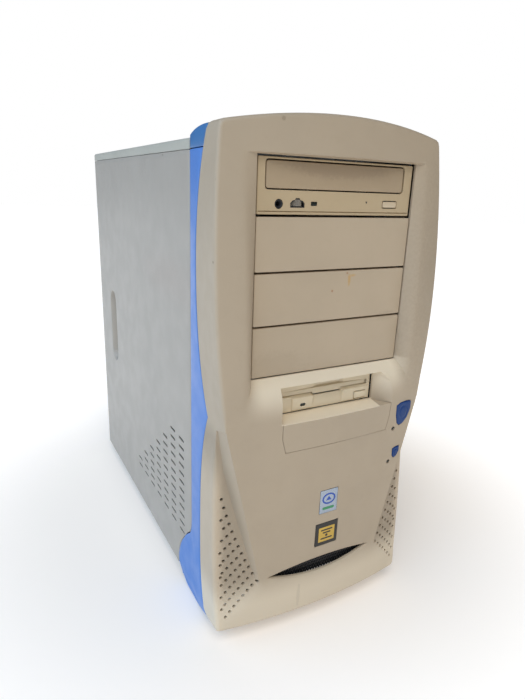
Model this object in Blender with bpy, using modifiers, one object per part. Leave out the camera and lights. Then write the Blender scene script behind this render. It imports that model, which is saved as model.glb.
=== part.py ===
"""Desktop computer tower: a steel case with a moulded front, its drives, power supply and boards.

Run with: blender --background --python part.py
Sizes in the constants are millimetres; the helpers turn them into Blender's metres.
Frame: +Z up, front towards -Y, left side (the access side) towards -X. The origin is on the floor,
under the middle of the case.
"""
import math

import bmesh
import bpy
from mathutils import Matrix, Vector

MM = 0.001
GAP = 0.35                    # clearance between neighbouring solids

# Steel case
CASE_HALF = 100.0             # half the width over the side panels
SHEET = 1.2                   # sheet thickness
PANEL_FRONT = -138.0          # front edge of the side panels
CASE_REAR = 209.2             # outside of the rear panel
FLOOR_Z = 17.0                # underside of the steel case
SEAM_Z = 427.0                # seam between side panel and top cover
CASE_TOP = 436.0
CHASSIS_FRONT = -172.0        # steel plate behind the moulded front

# Drive bays
BAY_FACE = -202.0             # plane of the bay covers
BAY_HALF = 74.5
BAY_TOP = 423.0
BAY_PITCH = 42.3
BAYS = 4
BAY_BOTTOM = BAY_TOP - BAYS * BAY_PITCH
FLOPPY_Z = (218.0, 243.4)
FLOPPY_FACE = -200.0

# Moulded front
BEZEL_BOTTOM = 17.0
BEZEL_WALL = 2.5
EDGE_GAP = 0.8                # clearance between the front's scalloped edge and the blue trim
BOTTOM_SLOPE = 6.0            # fall of the front's underside towards the rear
CUSP_Z = 216.0                # height where the two side lobes meet
WAIST_Z = 333.0               # widest height of the upper lobe
ARCH_TOP = 454.0
ARCH_DROP = 10.3              # fall of the arch from the middle to the corners
CORNER_HALF = 103.0

# Board and cards, measured inward from the right side
BOARD_X = 86.0
BOARD_Z = (26.0, 331.0)
BOARD_Y = (-14.0, 206.0)
SLOT_PITCH = 20.32
SLOT_Z = 40.0
SLOT_COUNT = 6

# Power supply
PSU_X = 75.0
PSU_Y = (68.0, 207.6)
PSU_Z = (339.0, 424.5)
PSU_INTAKE_Z = 398.0          # top of the supply's low front wall, open above it
INLET_CORNER = (-36.0, 372.0)  # X and Z of the upper inner corner of the inlet and its flange
PSU_FAN = (30.0, 381.7)       # X and Z of the fan's axis
CPU_FAN = (135.0, 255.0)      # Y and Z of the fan's axis
ROCKER_PIVOT = (203.0, 392.0)  # Y and Z of the rocker's pin

BEIGE = (0.62, 0.57, 0.49)
STEEL = (0.62, 0.64, 0.64)
ZINC = (0.55, 0.56, 0.57)
BLUE = (0.12, 0.27, 0.70)
BLACK = (0.02, 0.02, 0.02)
GREEN = (0.03, 0.19, 0.08)
SILVER = (0.70, 0.70, 0.70)


# ---------------------------------------------------------------- helpers

def new_collection(name):
    collection = bpy.data.collections.new(name)
    bpy.context.scene.collection.children.link(collection)
    return collection


def put_in(collection, obj):
    for old in list(obj.users_collection):
        old.objects.unlink(obj)
    collection.objects.link(obj)


def mesh_object(name, bm):
    """Makes an object in the part's collection from a bmesh given in millimetres."""
    bmesh.ops.recalc_face_normals(bm, faces=bm.faces)
    bmesh.ops.scale(bm, vec=(MM, MM, MM), verts=bm.verts)
    mesh = bpy.data.meshes.new(name)
    bm.to_mesh(mesh)
    bm.free()
    obj = bpy.data.objects.new(name, mesh)
    PARTS.objects.link(obj)
    return obj


def paint(obj, colour, roughness=0.5, metallic=0.0):
    material = bpy.data.materials.new(obj.name)
    material.use_nodes = True
    shader = material.node_tree.nodes["Principled BSDF"]
    shader.inputs["Base Color"].default_value = (*colour, 1.0)
    shader.inputs["Roughness"].default_value = roughness
    shader.inputs["Metallic"].default_value = metallic
    obj.data.materials.clear()
    obj.data.materials.append(material)
    return obj


def move_origin(obj, point):
    """Puts the object's origin at a point given in millimetres and leaves the shape in place."""
    target = Vector(point) * MM
    obj.data.transform(Matrix.Translation(obj.location - target))
    obj.location = target


def box(name, low, high, bevel=0.0):
    bm = bmesh.new()
    bmesh.ops.create_cube(bm, size=1.0)
    size = [b - a for a, b in zip(low, high)]
    middle = [(a + b) / 2 for a, b in zip(low, high)]
    bmesh.ops.scale(bm, vec=size, verts=bm.verts)
    bmesh.ops.translate(bm, vec=middle, verts=bm.verts)
    obj = mesh_object(name, bm)
    move_origin(obj, middle)
    if bevel:
        round_edges(obj, bevel)
    return obj


def slab(name, low, high, x_cuts=(), z_cuts=(), y_cuts=()):
    """A box with extra loops of edges, so that a rule can bend it."""
    obj = box(name, low, high)
    bm = bmesh.new()
    bm.from_mesh(obj.data)
    for axis, cuts in enumerate((x_cuts, y_cuts, z_cuts)):
        normal = Vector((axis == 0, axis == 1, axis == 2))
        for place in cuts:
            point = normal * (place * MM) - obj.location
            bmesh.ops.bisect_plane(bm, geom=bm.verts[:] + bm.edges[:] + bm.faces[:],
                                   plane_co=point, plane_no=normal)
    bm.to_mesh(obj.data)
    bm.free()
    return obj


def boxes(name, corners):
    """Many boxes in one cutter, each given by its low and high corner."""
    bm = bmesh.new()
    for low, high in corners:
        verts = bmesh.ops.create_cube(bm, size=1.0)["verts"]
        bmesh.ops.scale(bm, vec=[b - a for a, b in zip(low, high)], verts=verts)
        bmesh.ops.translate(bm, vec=[(a + b) / 2 for a, b in zip(low, high)], verts=verts)
    return mesh_object(name, bm)


def spread(low, high, count):
    """Places that divide a span into equal parts, without its ends."""
    return [low + (high - low) * i / count for i in range(1, count)]


def round_edges(obj, width, segments=1):
    bevel = obj.modifiers.new("edges", "BEVEL")
    bevel.width = width * MM
    bevel.segments = segments
    bevel.limit_method = "ANGLE"
    bevel.angle_limit = math.radians(40)


AXES = {"X": Matrix(((0, 0, 1, 0), (1, 0, 0, 0), (0, 1, 0, 0), (0, 0, 0, 1))),
        "Y": Matrix(((1, 0, 0, 0), (0, 0, -1, 0), (0, 1, 0, 0), (0, 0, 0, 1))),
        "Z": Matrix.Identity(4)}


def plate(name, loops, axis, low, high):
    """A flat outline, with holes as further loops, spread between two depths along an axis.

    The outline's two coordinates are (Y, Z) for axis X, (X, Z) for axis Y and (X, Y) for axis Z.
    """
    curve = bpy.data.curves.new(name, "CURVE")
    curve.dimensions = "2D"
    curve.fill_mode = "BOTH"
    curve.extrude = (high - low) / 2 * MM
    for loop in loops:
        spline = curve.splines.new("POLY")
        spline.points.add(len(loop) - 1)
        for point, (a, b) in zip(spline.points, loop):
            point.co = (a * MM, b * MM, 0.0, 1.0)
        spline.use_cyclic_u = True
    outline = bpy.data.objects.new(name + "_outline", curve)
    PARTS.objects.link(outline)
    graph = bpy.context.evaluated_depsgraph_get()
    mesh = bpy.data.meshes.new_from_object(outline.evaluated_get(graph))
    bpy.data.objects.remove(outline)
    bm = bmesh.new()
    bm.from_mesh(mesh)
    bpy.data.meshes.remove(mesh)
    bmesh.ops.remove_doubles(bm, verts=bm.verts, dist=1e-6)
    middle = (low + high) / 2
    shift = Vector({"X": (middle, 0, 0), "Y": (0, middle, 0), "Z": (0, 0, middle)}[axis]) * MM
    bmesh.ops.transform(bm, matrix=Matrix.Translation(shift) @ AXES[axis], verts=bm.verts)
    bmesh.ops.scale(bm, vec=(1 / MM,) * 3, verts=bm.verts)
    return mesh_object(name, bm)


def rectangle(low, high):
    return [(low[0], low[1]), (high[0], low[1]), (high[0], high[1]), (low[0], high[1])]


def rounded(centre, half, radius, steps=2):
    """A rectangle with round corners, as a loop of points."""
    loop = []
    for corner, (sx, sy) in enumerate(((1, 1), (-1, 1), (-1, -1), (1, -1))):
        for i in range(steps + 1):
            angle = math.pi / 2 * (corner + i / steps)
            loop.append((centre[0] + sx * (half[0] - radius) + radius * math.cos(angle),
                         centre[1] + sy * (half[1] - radius) + radius * math.sin(angle)))
    return loop


def circle(centre, radius, steps=12):
    return [(centre[0] + radius * math.cos(2 * math.pi * i / steps),
             centre[1] + radius * math.sin(2 * math.pi * i / steps)) for i in range(steps)]


def cylinder(name, centre, radius, length, axis, segments=16):
    bm = bmesh.new()
    bmesh.ops.create_cone(bm, cap_ends=True, segments=segments, radius1=radius, radius2=radius,
                          depth=length)
    bmesh.ops.transform(bm, matrix=AXES[axis], verts=bm.verts)
    bmesh.ops.translate(bm, vec=centre, verts=bm.verts)
    obj = mesh_object(name, bm)
    move_origin(obj, centre)
    smooth(obj)
    return obj


def smooth(obj):
    obj.data.shade_smooth()
    obj.data.set_sharp_from_angle(angle=math.radians(35))


def boolean(target, tool, operation):
    modifier = target.modifiers.new(tool.name, "BOOLEAN")
    modifier.operation = operation
    modifier.solver = "EXACT"
    modifier.object = tool
    put_in(CUTTERS, tool)
    tool.hide_render = True
    tool.display_type = "WIRE"
    return target


def cut(target, *tools):
    for tool in tools:
        boolean(target, tool, "DIFFERENCE")
    return target


def join(target, *tools):
    for tool in tools:
        boolean(target, tool, "UNION")
    return target


def warp(obj, rule):
    """Moves every vertex by a rule from millimetres to millimetres, in the tower's frame."""
    for vertex in obj.data.vertices:
        point = (vertex.co + obj.location) / MM
        vertex.co = Vector(rule(*point)) * MM - obj.location


def wire(name, points, radius):
    curve = bpy.data.curves.new(name, "CURVE")
    curve.dimensions = "3D"
    curve.bevel_depth = radius * MM
    curve.bevel_resolution = 2
    curve.use_fill_caps = True
    spline = curve.splines.new("POLY")
    spline.points.add(len(points) - 1)
    for point, place in zip(spline.points, points):
        point.co = (*(Vector(place) * MM), 1.0)
    obj = bpy.data.objects.new(name, curve)
    PARTS.objects.link(obj)
    return obj


def smooth_route(points, steps):
    """Points on a Catmull-Rom curve through the given route."""
    ends = [points[0]] + list(points) + [points[-1]]
    route = []
    for a, b, c, d in zip(ends, ends[1:], ends[2:], ends[3:]):
        a, b, c, d = Vector(a), Vector(b), Vector(c), Vector(d)
        for i in range(steps):
            t = i / steps
            route.append(0.5 * (2 * b + (c - a) * t + (2 * a - 5 * b + 4 * c - d) * t ** 2
                                + (3 * b - a - 3 * c + d) * t ** 3))
    route.append(Vector(points[-1]))
    return route


# ---------------------------------------------------------------- moulded front

def half_width(z):
    """Half the width of the moulded front at a height."""
    if z > WAIST_Z:
        return 108.9 - 0.0005 * (z - WAIST_Z) ** 2
    if z > CUSP_Z:
        return 108.9 - 0.00062 * (z - WAIST_Z) ** 2
    return 100.3 + 4.8 * (1 - ((z - 90) / 126) ** 2)


def face_y(x, z):
    """Depth of the moulded front's face."""
    if z > 235:
        middle = -217 + 8.5 * ((z - 235) / 210) ** 2
    else:
        middle = -217 + 2 * (235 - z) / 218
    return middle + (5 + 4.2 * ((z - 223) / 215) ** 2) * (x / 100) ** 2


def side_edge_y(z):
    """Depth of the scalloped edge between the beige front and the blue trim."""
    if z > 343:
        return -156 - 20 * ((z - 343) / 100) ** 2
    if z > CUSP_Z:
        return -156 - 20 * ((343 - z) / (343 - CUSP_Z)) ** 2
    return -164 - 12.5 * abs((z - 112) / 104) ** 3.2


def side_x(y, z):
    """Half-width of the front's side wall and of the trim, narrowing towards the side panels."""
    front = face_y(half_width(z), z)
    share = min(1.0, (y - front) / (PANEL_FRONT - front))
    return half_width(z) + (CASE_HALF + 0.6 - half_width(z)) * share


ROWS = 14
COLUMNS = 12
RIDGE_LOW = (64.6, 62.0)      # lower end of the facets' ridge, X and Z
RIDGE_SLOPE = 36.0 / 154      # sideways run of the ridge for each mm of height
FACET_RAMP = 4.5
FACET_Z = (40.0, 200.0)


def arch_z(x):
    return ARCH_TOP - ARCH_DROP * (x / CORNER_HALF) ** 2


def bezel_rows(v, x):
    """Height of a grid row, with one row kept at the cusp."""
    split = 6 / ROWS
    if v <= split:
        return BEZEL_BOTTOM + (CUSP_Z - BEZEL_BOTTOM) * v / split
    return CUSP_Z + (arch_z(x) - CUSP_Z) * (v - split) / (1 - split)


def lobe_edge(z):
    """The scalloped edge as the shell's straight stretches give it."""
    rows = [bezel_rows(i / ROWS, CORNER_HALF) for i in range(ROWS + 1)]
    rows[0] -= BOTTOM_SLOPE
    for low, high in zip(rows, rows[1:]):
        if low <= z <= high:
            share = (z - low) / (high - low)
            return side_edge_y(low) * (1 - share) + side_edge_y(high) * share
    return side_edge_y(z)


def facet_y(x, z):
    """Depth of the sunken corner facets beside the intake."""
    return -205.39 + 0.1605 * (abs(x) - 80) + 0.0579 * (z - 83)


def shell_point(u, z):
    """A point of the face; below the cusp the outer columns follow the facets' ridge."""
    column = round(abs(u) * COLUMNS / 2)
    edge = half_width(z)
    x = abs(u) * edge
    ridge = RIDGE_LOW[0] + (z - RIDGE_LOW[1]) * RIDGE_SLOPE
    faceted = FACET_Z[0] < z < FACET_Z[1]
    if faceted and column >= COLUMNS // 2 - 2:
        x = (ridge, min(ridge + FACET_RAMP, (ridge + edge) / 2), edge)[column - COLUMNS // 2 + 2]
    elif faceted:
        x = ridge * column / (COLUMNS // 2 - 2)
    y = face_y(x, z)
    if faceted and column > COLUMNS // 2 - 2:
        y = max(y, facet_y(x, z))
    return math.copysign(x, u), y


def bezel_shell():
    bm = bmesh.new()
    bmesh.ops.create_grid(bm, x_segments=COLUMNS, y_segments=ROWS, size=1.0)
    rim = [edge for edge in bm.edges if edge.is_boundary]
    rear = bmesh.ops.extrude_edge_only(bm, edges=rim)["geom"]
    for vertex in rear:
        if isinstance(vertex, bmesh.types.BMVert):
            vertex.co.z = 1.0
    for vertex in bm.verts:
        u, v = vertex.co.x, (vertex.co.y + 1) / 2
        z = bezel_rows(v, u * CORNER_HALF)
        if vertex.co.z < 0.5:
            x, y = shell_point(u, z)
            vertex.co = (x, y, z)
            continue
        if v < 1e-6:
            z -= BOTTOM_SLOPE
        y = side_edge_y(z)
        vertex.co = (u * side_x(y, z), y, z)
    obj = mesh_object("front_bezel", bm)
    if obj.data.polygons[0].normal.y > 0:
        obj.data.flip_normals()
    round_edges(obj, 4.0, 2)
    shell = obj.modifiers.new("wall", "SOLIDIFY")
    shell.thickness = BEZEL_WALL * MM
    shell.offset = -1.0
    shell.use_even_offset = True
    obj.modifiers.new("facets", "TRIANGULATE")
    return obj


def bay_surround():
    """The block that frames the bays behind the face, before the openings are cut."""
    block = slab("bay_surround", (-84, -230, 184), (84, -199, 427), spread(-84, 84, 6),
                 spread(184, 427, 8))

    def follow(x, y, z):
        return (x, face_y(x, z) + 1.2 if y < -215 else y, z)
    warp(block, follow)
    return block


def frustum(name, front, rear, y_front, y_rear):
    """A cutter that narrows from one rectangle (x0, z0, x1, z1) to another behind it."""
    tool = box(name, (-1, -1, -1), (1, 1, 1))

    def place(x, y, z):
        low_x, low_z, high_x, high_z = front if y < 0 else rear
        return (high_x if x > 0 else low_x, y_front if y < 0 else y_rear,
                high_z if z > 0 else low_z)
    warp(tool, place)
    return tool


POWER_OUTLINE = [(74.0, 211.0), (78.5, 213.2), (86.0, 213.8), (91.7, 213.2), (91.4, 206.0),
                 (88.0, 197.0), (83.0, 191.0), (79.5, 190.0), (76.5, 193.0), (74.5, 201.0)]
RESET_OUTLINE = [(75.0, 166.0), (77.5, 167.2), (83.5, 167.7), (83.0, 163.0), (80.0, 157.0),
                 (77.5, 156.0), (75.5, 159.0)]
LED_PLACES = {"power_led": (72.5, 187.8), "drive_led": (71.3, 153.3)}
SMILE_HALF = 56.0


def grow(loop, amount):
    """Moves a loop's points away from their middle."""
    middle = Vector((sum(p[0] for p in loop) / len(loop), sum(p[1] for p in loop) / len(loop)))
    grown = []
    for point in loop:
        away = Vector(point) - middle
        grown.append(tuple(Vector(point) + away.normalized() * amount))
    return grown


def smile_outline(amount=0.0):
    """The air intake: two shallow arcs that meet at the ends."""
    steps = 8
    half = SMILE_HALF + amount
    upper = [(half * (1 - 2 * i / steps), 65 + (6 + amount) * (1 - (1 - 2 * i / steps) ** 2))
             for i in range(steps)]
    lower = [(-half * (1 - 2 * i / steps), 65 - (9 + amount) * (1 - (1 - 2 * i / steps) ** 2))
             for i in range(steps)]
    return upper + lower


BLANK_OUTLINE = [(-50.0, 215.4), (-50.0, 203.0), (-46.5, 189.4), (0.0, 189.2), (62.0, 189.4),
                 (65.0, 203.0), (65.5, 215.4), (0.0, 215.4)]


def make_front_bezel():
    bezel = bezel_shell()
    join(bezel, bay_surround())
    cut(bezel,
        frustum("bay_cutter", (-84, 244.6, 84, 424.2), (-BAY_HALF - 0.3, BAY_BOTTOM - 0.3,
                BAY_HALF + 0.3, BAY_TOP + 0.3), -219.0, -200.6),
        box("bay_through", (-BAY_HALF - 0.3, -201, BAY_BOTTOM - 0.3),
            (BAY_HALF + 0.3, -150, BAY_TOP + 0.3)),
        frustum("floppy_cutter", (-51.2, 215.8, 67, 246.2),
                (-51.2, 217.6, 51.2, 243.8), -221.0, -202.0),
        box("floppy_through", (-51.2, -203, 217.6), (51.2, -150, 243.8)),
        plate("blank_cutter", [grow(BLANK_OUTLINE, 0.45)], "Y", -230, -150),
        plate("power_cutter", [grow(POWER_OUTLINE, 0.5)], "Y", -230, -150),
        plate("reset_cutter", [grow(RESET_OUTLINE, 0.5)], "Y", -230, -150),
        plate("smile_cutter", [smile_outline()], "Y", -230, -150),
        box("badge_pocket", (-10.2, -230, 83.9), (15.0, -214.6, 108.6)),
        box("label_pocket", (-8.0, -230, 118.5), (11.8, -215.2, 143.3)))
    for name, place in LED_PLACES.items():
        cut(bezel, cylinder(name + "_cutter", (place[0], -200, place[1]), 2.3, 60, "Y", 10))
    return paint(bezel, BEIGE, 0.55)


def make_trim(name, side):
    """Blue side trim with the front foot moulded on its lower end."""
    rows = [bezel_rows(i / ROWS, CORNER_HALF) for i in range(1, ROWS)]
    heights = [SEAM_Z - GAP] + [z for z in reversed(rows) if z < SEAM_Z - 5]
    front = [(lobe_edge(z) + EDGE_GAP, z) for z in heights + [BEZEL_BOTTOM - BOTTOM_SLOPE]]
    foot = [(-158.0, 4.3), (-145.0, 1.0), (-142.0, 0.0), (-119.0, 0.0),
            (-112.0, 5.0), (-105.5, 12.0), (-102.2, 20.0), (-101.4, 29.0), (-104.2, 38.5),
            (-109.3, 48.8), (-115.5, 57.0), (-127.3, 70.0), (-137.0, 74.0), (PANEL_FRONT - GAP, 90.0)]
    rear = [(PANEL_FRONT - GAP, z) for z in reversed(heights) if z > 100]
    trim = plate(name, [front + foot + rear], "X", -1.0, 1.0)

    def place(x, y, z):
        outer = side_x(y, z) if z > 20 else side_x(y, 20) - 0.15 * (20 - z)
        inner = CASE_HALF - (0.9 if z > 6 else 10.0)
        return (side * (outer if x > 0 else inner), y, z)
    warp(trim, place)
    if side < 0:
        trim.data.flip_normals()
    return paint(trim, BLUE, 0.4)


def make_top_trim():
    """Blue ramp from the top cover up to the moulded front's arch."""
    rear = PANEL_FRONT - GAP
    run = 38.0
    trim = slab("top_trim", (-101.5, rear - run, SEAM_Z), (101.5, rear, SEAM_Z + 12),
                spread(-101.5, 101.5, 8), y_cuts=[rear - run * share for share in (0.12, 0.3, 0.6)])

    def place(x, y, z):
        share = min(1.0, (rear - y) / run)
        if z < SEAM_Z + 6:
            return (x, rear + (lobe_edge(SEAM_Z) + EDGE_GAP - rear) * share, SEAM_Z)
        rise = 0.26 + 0.74 * (1 - (1 - share) ** 2.6)
        front = side_edge_y(arch_z(x)) + EDGE_GAP
        return (x, rear + (front - rear) * share, CASE_TOP + (arch_z(x) - 0.8 - CASE_TOP) * rise)
    warp(trim, place)
    hollow = box("top_trim_hollow", (-97, -190, 400), (97, -142, 432))
    return paint(cut(trim, hollow), BLUE, 0.4)


def make_badges():
    badge = box("case_badge", (-9.8, -215.9, 84.4), (14.6, -214.9, 108.1), 0.3)
    paint(badge, (0.55, 0.42, 0.14), 0.35, 0.6)
    label = box("processor_badge", (-7.6, -216.3, 119.0), (11.4, -215.5, 142.8), 0.2)
    paint(label, (0.55, 0.62, 0.72), 0.35, 0.3)


def make_buttons():
    for name, loop in (("power_button", POWER_OUTLINE), ("reset_button", RESET_OUTLINE)):
        x = sum(p[0] for p in loop) / len(loop)
        z = sum(p[1] for p in loop) / len(loop)
        button = plate(name, [loop], "Y", face_y(x, z) - 0.9, -190.0)
        move_origin(button, (x, -200.0, z))
        paint(button, BLUE, 0.35)
    for name, (x, z) in LED_PLACES.items():
        led = cylinder(name, (x, (face_y(x, z) - 189) / 2, z), 1.9, -189 - face_y(x, z), "Y", 10)
        paint(led, (0.05, 0.10, 0.04), 0.2)
    bracket = box("switch_bracket", (68, -186, 146), (90, -174, 218), 0.8)
    slots = [box("switch_slot_" + str(i), (74, -190, z), (84, -182, z + 8))
             for i, z in enumerate((158, 196))]
    paint(cut(bracket, *slots), BLACK, 0.6)


def make_intake_mesh():
    holes = [rectangle((-54 + 12 * i, z), (-46 + 12 * i, z + 3)) for i in range(9)
             for z in (54, 60, 66, 72)]
    mesh = plate("intake_mesh", [rectangle((-62, 50), (62, 79))] + holes, "Y", -208.0, -207.0)
    return paint(mesh, BLACK, 0.6)


# ---------------------------------------------------------------- steel case

SLOT_COUNTS = (12, 12, 10, 8, 6, 4, 2)
SLOT_COLUMN = -112.0
SLOT_COLUMN_PITCH = 24.5
SLOT_ROW = 64.0
SLOT_ROW_PITCH = 9.3
RECESS_CENTRE = (144.0, 217.0)
RECESS_HALF = (15.0, 48.0)
RECESS_DEPTH = 9.0
SCREW_HEIGHTS = (60.0, 390.0)


def panel_outline():
    """Side panel seen from the side, with its lower front corner cut for the foot."""
    return [(PANEL_FRONT, 90.0), (-136.6, 74.5), (-127.0, 70.5), (-115.2, 57.5), (-109.0, 49.2),
            (-103.8, 38.7), (-101.0, 29.0), (-101.0, FLOOR_Z), (CASE_REAR + 1.5, FLOOR_Z),
            (CASE_REAR + 1.5, SEAM_Z - GAP), (PANEL_FRONT, SEAM_Z - GAP)]


def make_side_panel(name, side):
    slots = []
    for column, count in enumerate(SLOT_COUNTS):
        for row in range(count):
            y = SLOT_COLUMN + column * SLOT_COLUMN_PITCH
            z = SLOT_ROW + row * SLOT_ROW_PITCH
            slots.append(((side * CASE_HALF - 4, y - 7, z - 1.25), (side * CASE_HALF + 4, y + 7, z + 1.25)))
    outer = side * (CASE_HALF + 0.6)
    inner = side * (CASE_HALF - 0.6)
    panel = plate(name, [panel_outline()], "X", *sorted((inner, outer)))
    if side < 0:
        deep = side * (CASE_HALF - RECESS_DEPTH)
        cup = rounded(RECESS_CENTRE, (RECESS_HALF[0] + 1.2, RECESS_HALF[1] + 1.2), 16, 3)
        hole = rounded(RECESS_CENTRE, RECESS_HALF, 14.8, 3)
        join(panel, plate("recess_cup", [cup], "X", *sorted((deep - side * 1.2, inner + side * 0.5))))
        cut(panel, plate("recess_hollow", [hole], "X", *sorted((deep, outer + side * 5))))
    cut(panel, boxes(name + "_slots", slots))
    low, high = sorted((side * 84, side * (CASE_HALF + 0.2)))
    flange = box(name + "_flange", (low, CASE_REAR + 0.3, 40), (high, CASE_REAR + 1.5, 410))
    join(panel, flange)
    for index, z in enumerate(SCREW_HEIGHTS):
        cut(panel, cylinder(name + "_bore_" + str(index), (side * 91, CASE_REAR, z), 2.2, 12, "Y", 10))
    return paint(panel, STEEL, 0.45)


def make_thumbscrews():
    for side, word in ((-1, "left"), (1, "right")):
        for index, z in enumerate(SCREW_HEIGHTS):
            name = "thumbscrew_" + word + "_" + str(index + 1)
            rear = CASE_REAR + 1.5
            profile = [(0.0, 217.0), (5.0, 217.0), (5.5, 216.4), (5.5, rear + 1.5), (4.0, rear + GAP),
                       (1.7, rear + GAP), (1.7, 202.0), (0.0, 202.0)]
            paint(turned(name, profile, (side * 91, z)), ZINC, 0.3, 0.9)


def turned(name, profile, axis_point, steps=12):
    """A solid turned about an axis along Y: the profile is (radius, y)."""
    bm = bmesh.new()
    verts = [bm.verts.new((radius, 0.0, y)) for radius, y in profile]
    for a, b in zip(verts, verts[1:]):
        bm.edges.new((a, b))
    obj = mesh_object(name, bm)
    obj.rotation_euler = (-math.pi / 2, 0.0, 0.0)
    obj.location = Vector((axis_point[0], 0.0, axis_point[1])) * MM
    screw = obj.modifiers.new("turn", "SCREW")
    screw.steps = steps
    screw.render_steps = steps
    screw.use_merge_vertices = True
    screw.merge_threshold = 1e-5
    return obj


def make_top_cover():
    cover = box("top_cover", (-CASE_HALF - 0.6, PANEL_FRONT, SEAM_Z),
                (CASE_HALF + 0.6, CASE_REAR + 1.5, CASE_TOP), 1.6)
    inside = box("top_cover_inside", (-CASE_HALF + 0.6, PANEL_FRONT + SHEET, SEAM_Z - 5),
                 (CASE_HALF - 0.6, CASE_REAR + 0.3, CASE_TOP - SHEET))
    return paint(cut(cover, inside), STEEL, 0.45)


def channel(name, half, z_floor, z_top, y_low, y_high):
    """A U-shaped folded sheet, open upward."""
    inner = half - SHEET
    loop = [(-half, z_top), (-half, z_floor), (half, z_floor), (half, z_top),
            (inner, z_top), (inner, z_floor + SHEET), (-inner, z_floor + SHEET), (-inner, z_top)]
    return paint(plate(name, [loop], "Y", y_low, y_high), ZINC, 0.35, 0.8)


def make_chassis():
    channel("chassis_base", 98.6, FLOOR_Z, 34.0, CHASSIS_FRONT + SHEET + GAP, CASE_REAR - SHEET - GAP)
    channel("drive_cage_large", 76.6, 250.0, 424.5, CHASSIS_FRONT + SHEET + GAP, 10.0)
    channel("drive_cage_small", 53.0, 100.0, 249.0, CHASSIS_FRONT + SHEET + GAP, -20.0)
    holes = [rectangle((-74.9, 254.0), (74.9, 422.8)), rectangle((-51.4, 190.0), (51.4, 246.0)),
             rectangle((-60, 45), (60, 82)), rectangle((68, 184), (94, 218)),
             rectangle((68, 148), (90, 172))]
    front = plate("chassis_front", [rectangle((-96.5, 20.0), (96.5, 426))] + holes, "Y",
                  CHASSIS_FRONT, CHASSIS_FRONT + SHEET)
    paint(front, ZINC, 0.35, 0.8)
    make_rear_panel()
    tray = plate("motherboard_tray", [rectangle((-60, 34.5), (200, 424))], "X", 92.0, 93.2)
    for y in (BOARD_Y[0] + 12, 96.0, BOARD_Y[1] - 12):
        for z in (BOARD_Z[0] + 14, 178.0, BOARD_Z[1] - 14):
            join(tray, cylinder("standoff_" + str(int(y)) + "_" + str(int(z)),
                                (89.6, y, z), 2.6, 6.0, "X", 6))
    paint(tray, ZINC, 0.35, 0.8)
    for side, word in ((-1, "left"), (1, "right")):
        foot = cylinder("rear_foot_" + word, (side * 76, 172, 8.3), 12, 16.6, "Z", 20)
        round_edges(foot, 1.5)
        paint(foot, BLACK, 0.8)


def make_rear_panel():
    holes = [rectangle((-71.5, 344), (71.5, 421)), rectangle((40, 170), (84.4, 328.6))]
    for slot in range(2, SLOT_COUNT):
        z = SLOT_Z + slot * SLOT_PITCH
        holes.append(rectangle((-26, z - 6.4), (78, z + 6.4)))
    for row in range(8):
        z = 192 + row * 16
        holes.append(rectangle((-74, z - 2.5), (-6, z + 2.5)))
    holes += [circle((side * 91, z), 2.1, 10) for side in (-1, 1) for z in SCREW_HEIGHTS]
    panel = plate("rear_panel", [rectangle((-98.6, FLOOR_Z), (98.6, 426))] + holes, "Y",
                  CASE_REAR - SHEET, CASE_REAR)
    return paint(panel, ZINC, 0.35, 0.8)


# ---------------------------------------------------------------- drives

WHEEL_PLACE = (-38.5, 390.3)


def make_bay_covers():
    for index in range(1, BAYS):
        top = BAY_TOP - index * BAY_PITCH - 0.3
        cover = box("bay_cover_" + str(index), (-BAY_HALF, BAY_FACE, top - BAY_PITCH + 0.6),
                    (BAY_HALF, BAY_FACE + 12, top), 0.5)
        hollow = box("bay_hollow_" + str(index), (-BAY_HALF + 2, BAY_FACE + 2.2, top - BAY_PITCH + 2.6),
                     (BAY_HALF - 2, BAY_FACE + 20, top - 2))
        paint(cut(cover, hollow), BEIGE, 0.55)
    blank = plate("floppy_bay_blank", [BLANK_OUTLINE], "Y", -230.0, -200.0)

    def follow(x, y, z):
        return (x, face_y(x, z) if y < -215 else y, z)
    warp(blank, follow)
    hollow = box("blank_hollow", (-44, -212, 191.6), (60, -190, 213.2))
    paint(cut(blank, hollow), BEIGE, 0.55)


def make_optical_drive():
    body = box("optical_drive_body", (-73, -196.8, 381.6), (73, -8, 422.4))
    cut(body, box("optical_inside", (-71.8, -210, 382.8), (71.8, -9.2, 421.2)))
    paint(body, ZINC, 0.35, 0.8)
    openings = [rounded((-1.1, 410.0), (65.6, 10.2), 2.4), rounded((51.6, 390.5), (7.6, 3.0), 1.0),
                circle((-54.8, 389.3), 3.6), rectangle((-44.9, 386.8), (-32.1, 393.8)),
                rectangle((-26.4, 388.4), (-20.8, 391.4))]
    face = plate("optical_faceplate", [rounded((0, 401.85), (BAY_HALF, 20.85), 1.0)] + openings,
                 "Y", -200.6, -197.2)
    paint(face, BEIGE, 0.5)
    make_optical_tray()
    button = box("optical_eject_button", (44.4, -201.2, 388.0), (58.8, -192.0, 393.0), 0.5)
    paint(button, BEIGE, 0.5)
    wheel = cylinder("optical_volume_wheel", (WHEEL_PLACE[0], -195.6, WHEEL_PLACE[1]), 5.6, 5.0, "Z", 20)
    paint(wheel, BEIGE, 0.6)
    jack = plate("headphone_jack", [circle((-54.8, 389.3), 3.2), circle((-54.8, 389.3), 1.8, 10)],
                 "Y", -200.4, -190.0)
    paint(jack, BLACK, 0.4)


def make_optical_tray():
    tray = plate("optical_tray", [rounded((-1.1, 410.0), (65.2, 9.8), 2.0)], "Y", -200.5, -198.0)
    leaf = box("tray_leaf", (-64.0, -199.0, 404.0), (62.0, -50.0, 410.0))
    join(tray, leaf)
    cut(tray, cylinder("disc_recess", (-1.1, -128.0, 410.0), 60.2, 4.0, "Z", 32),
        cylinder("spindle_hole", (-1.1, -128.0, 405.0), 18.0, 30.0, "Z", 16))
    return paint(tray, BEIGE, 0.5)


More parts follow.
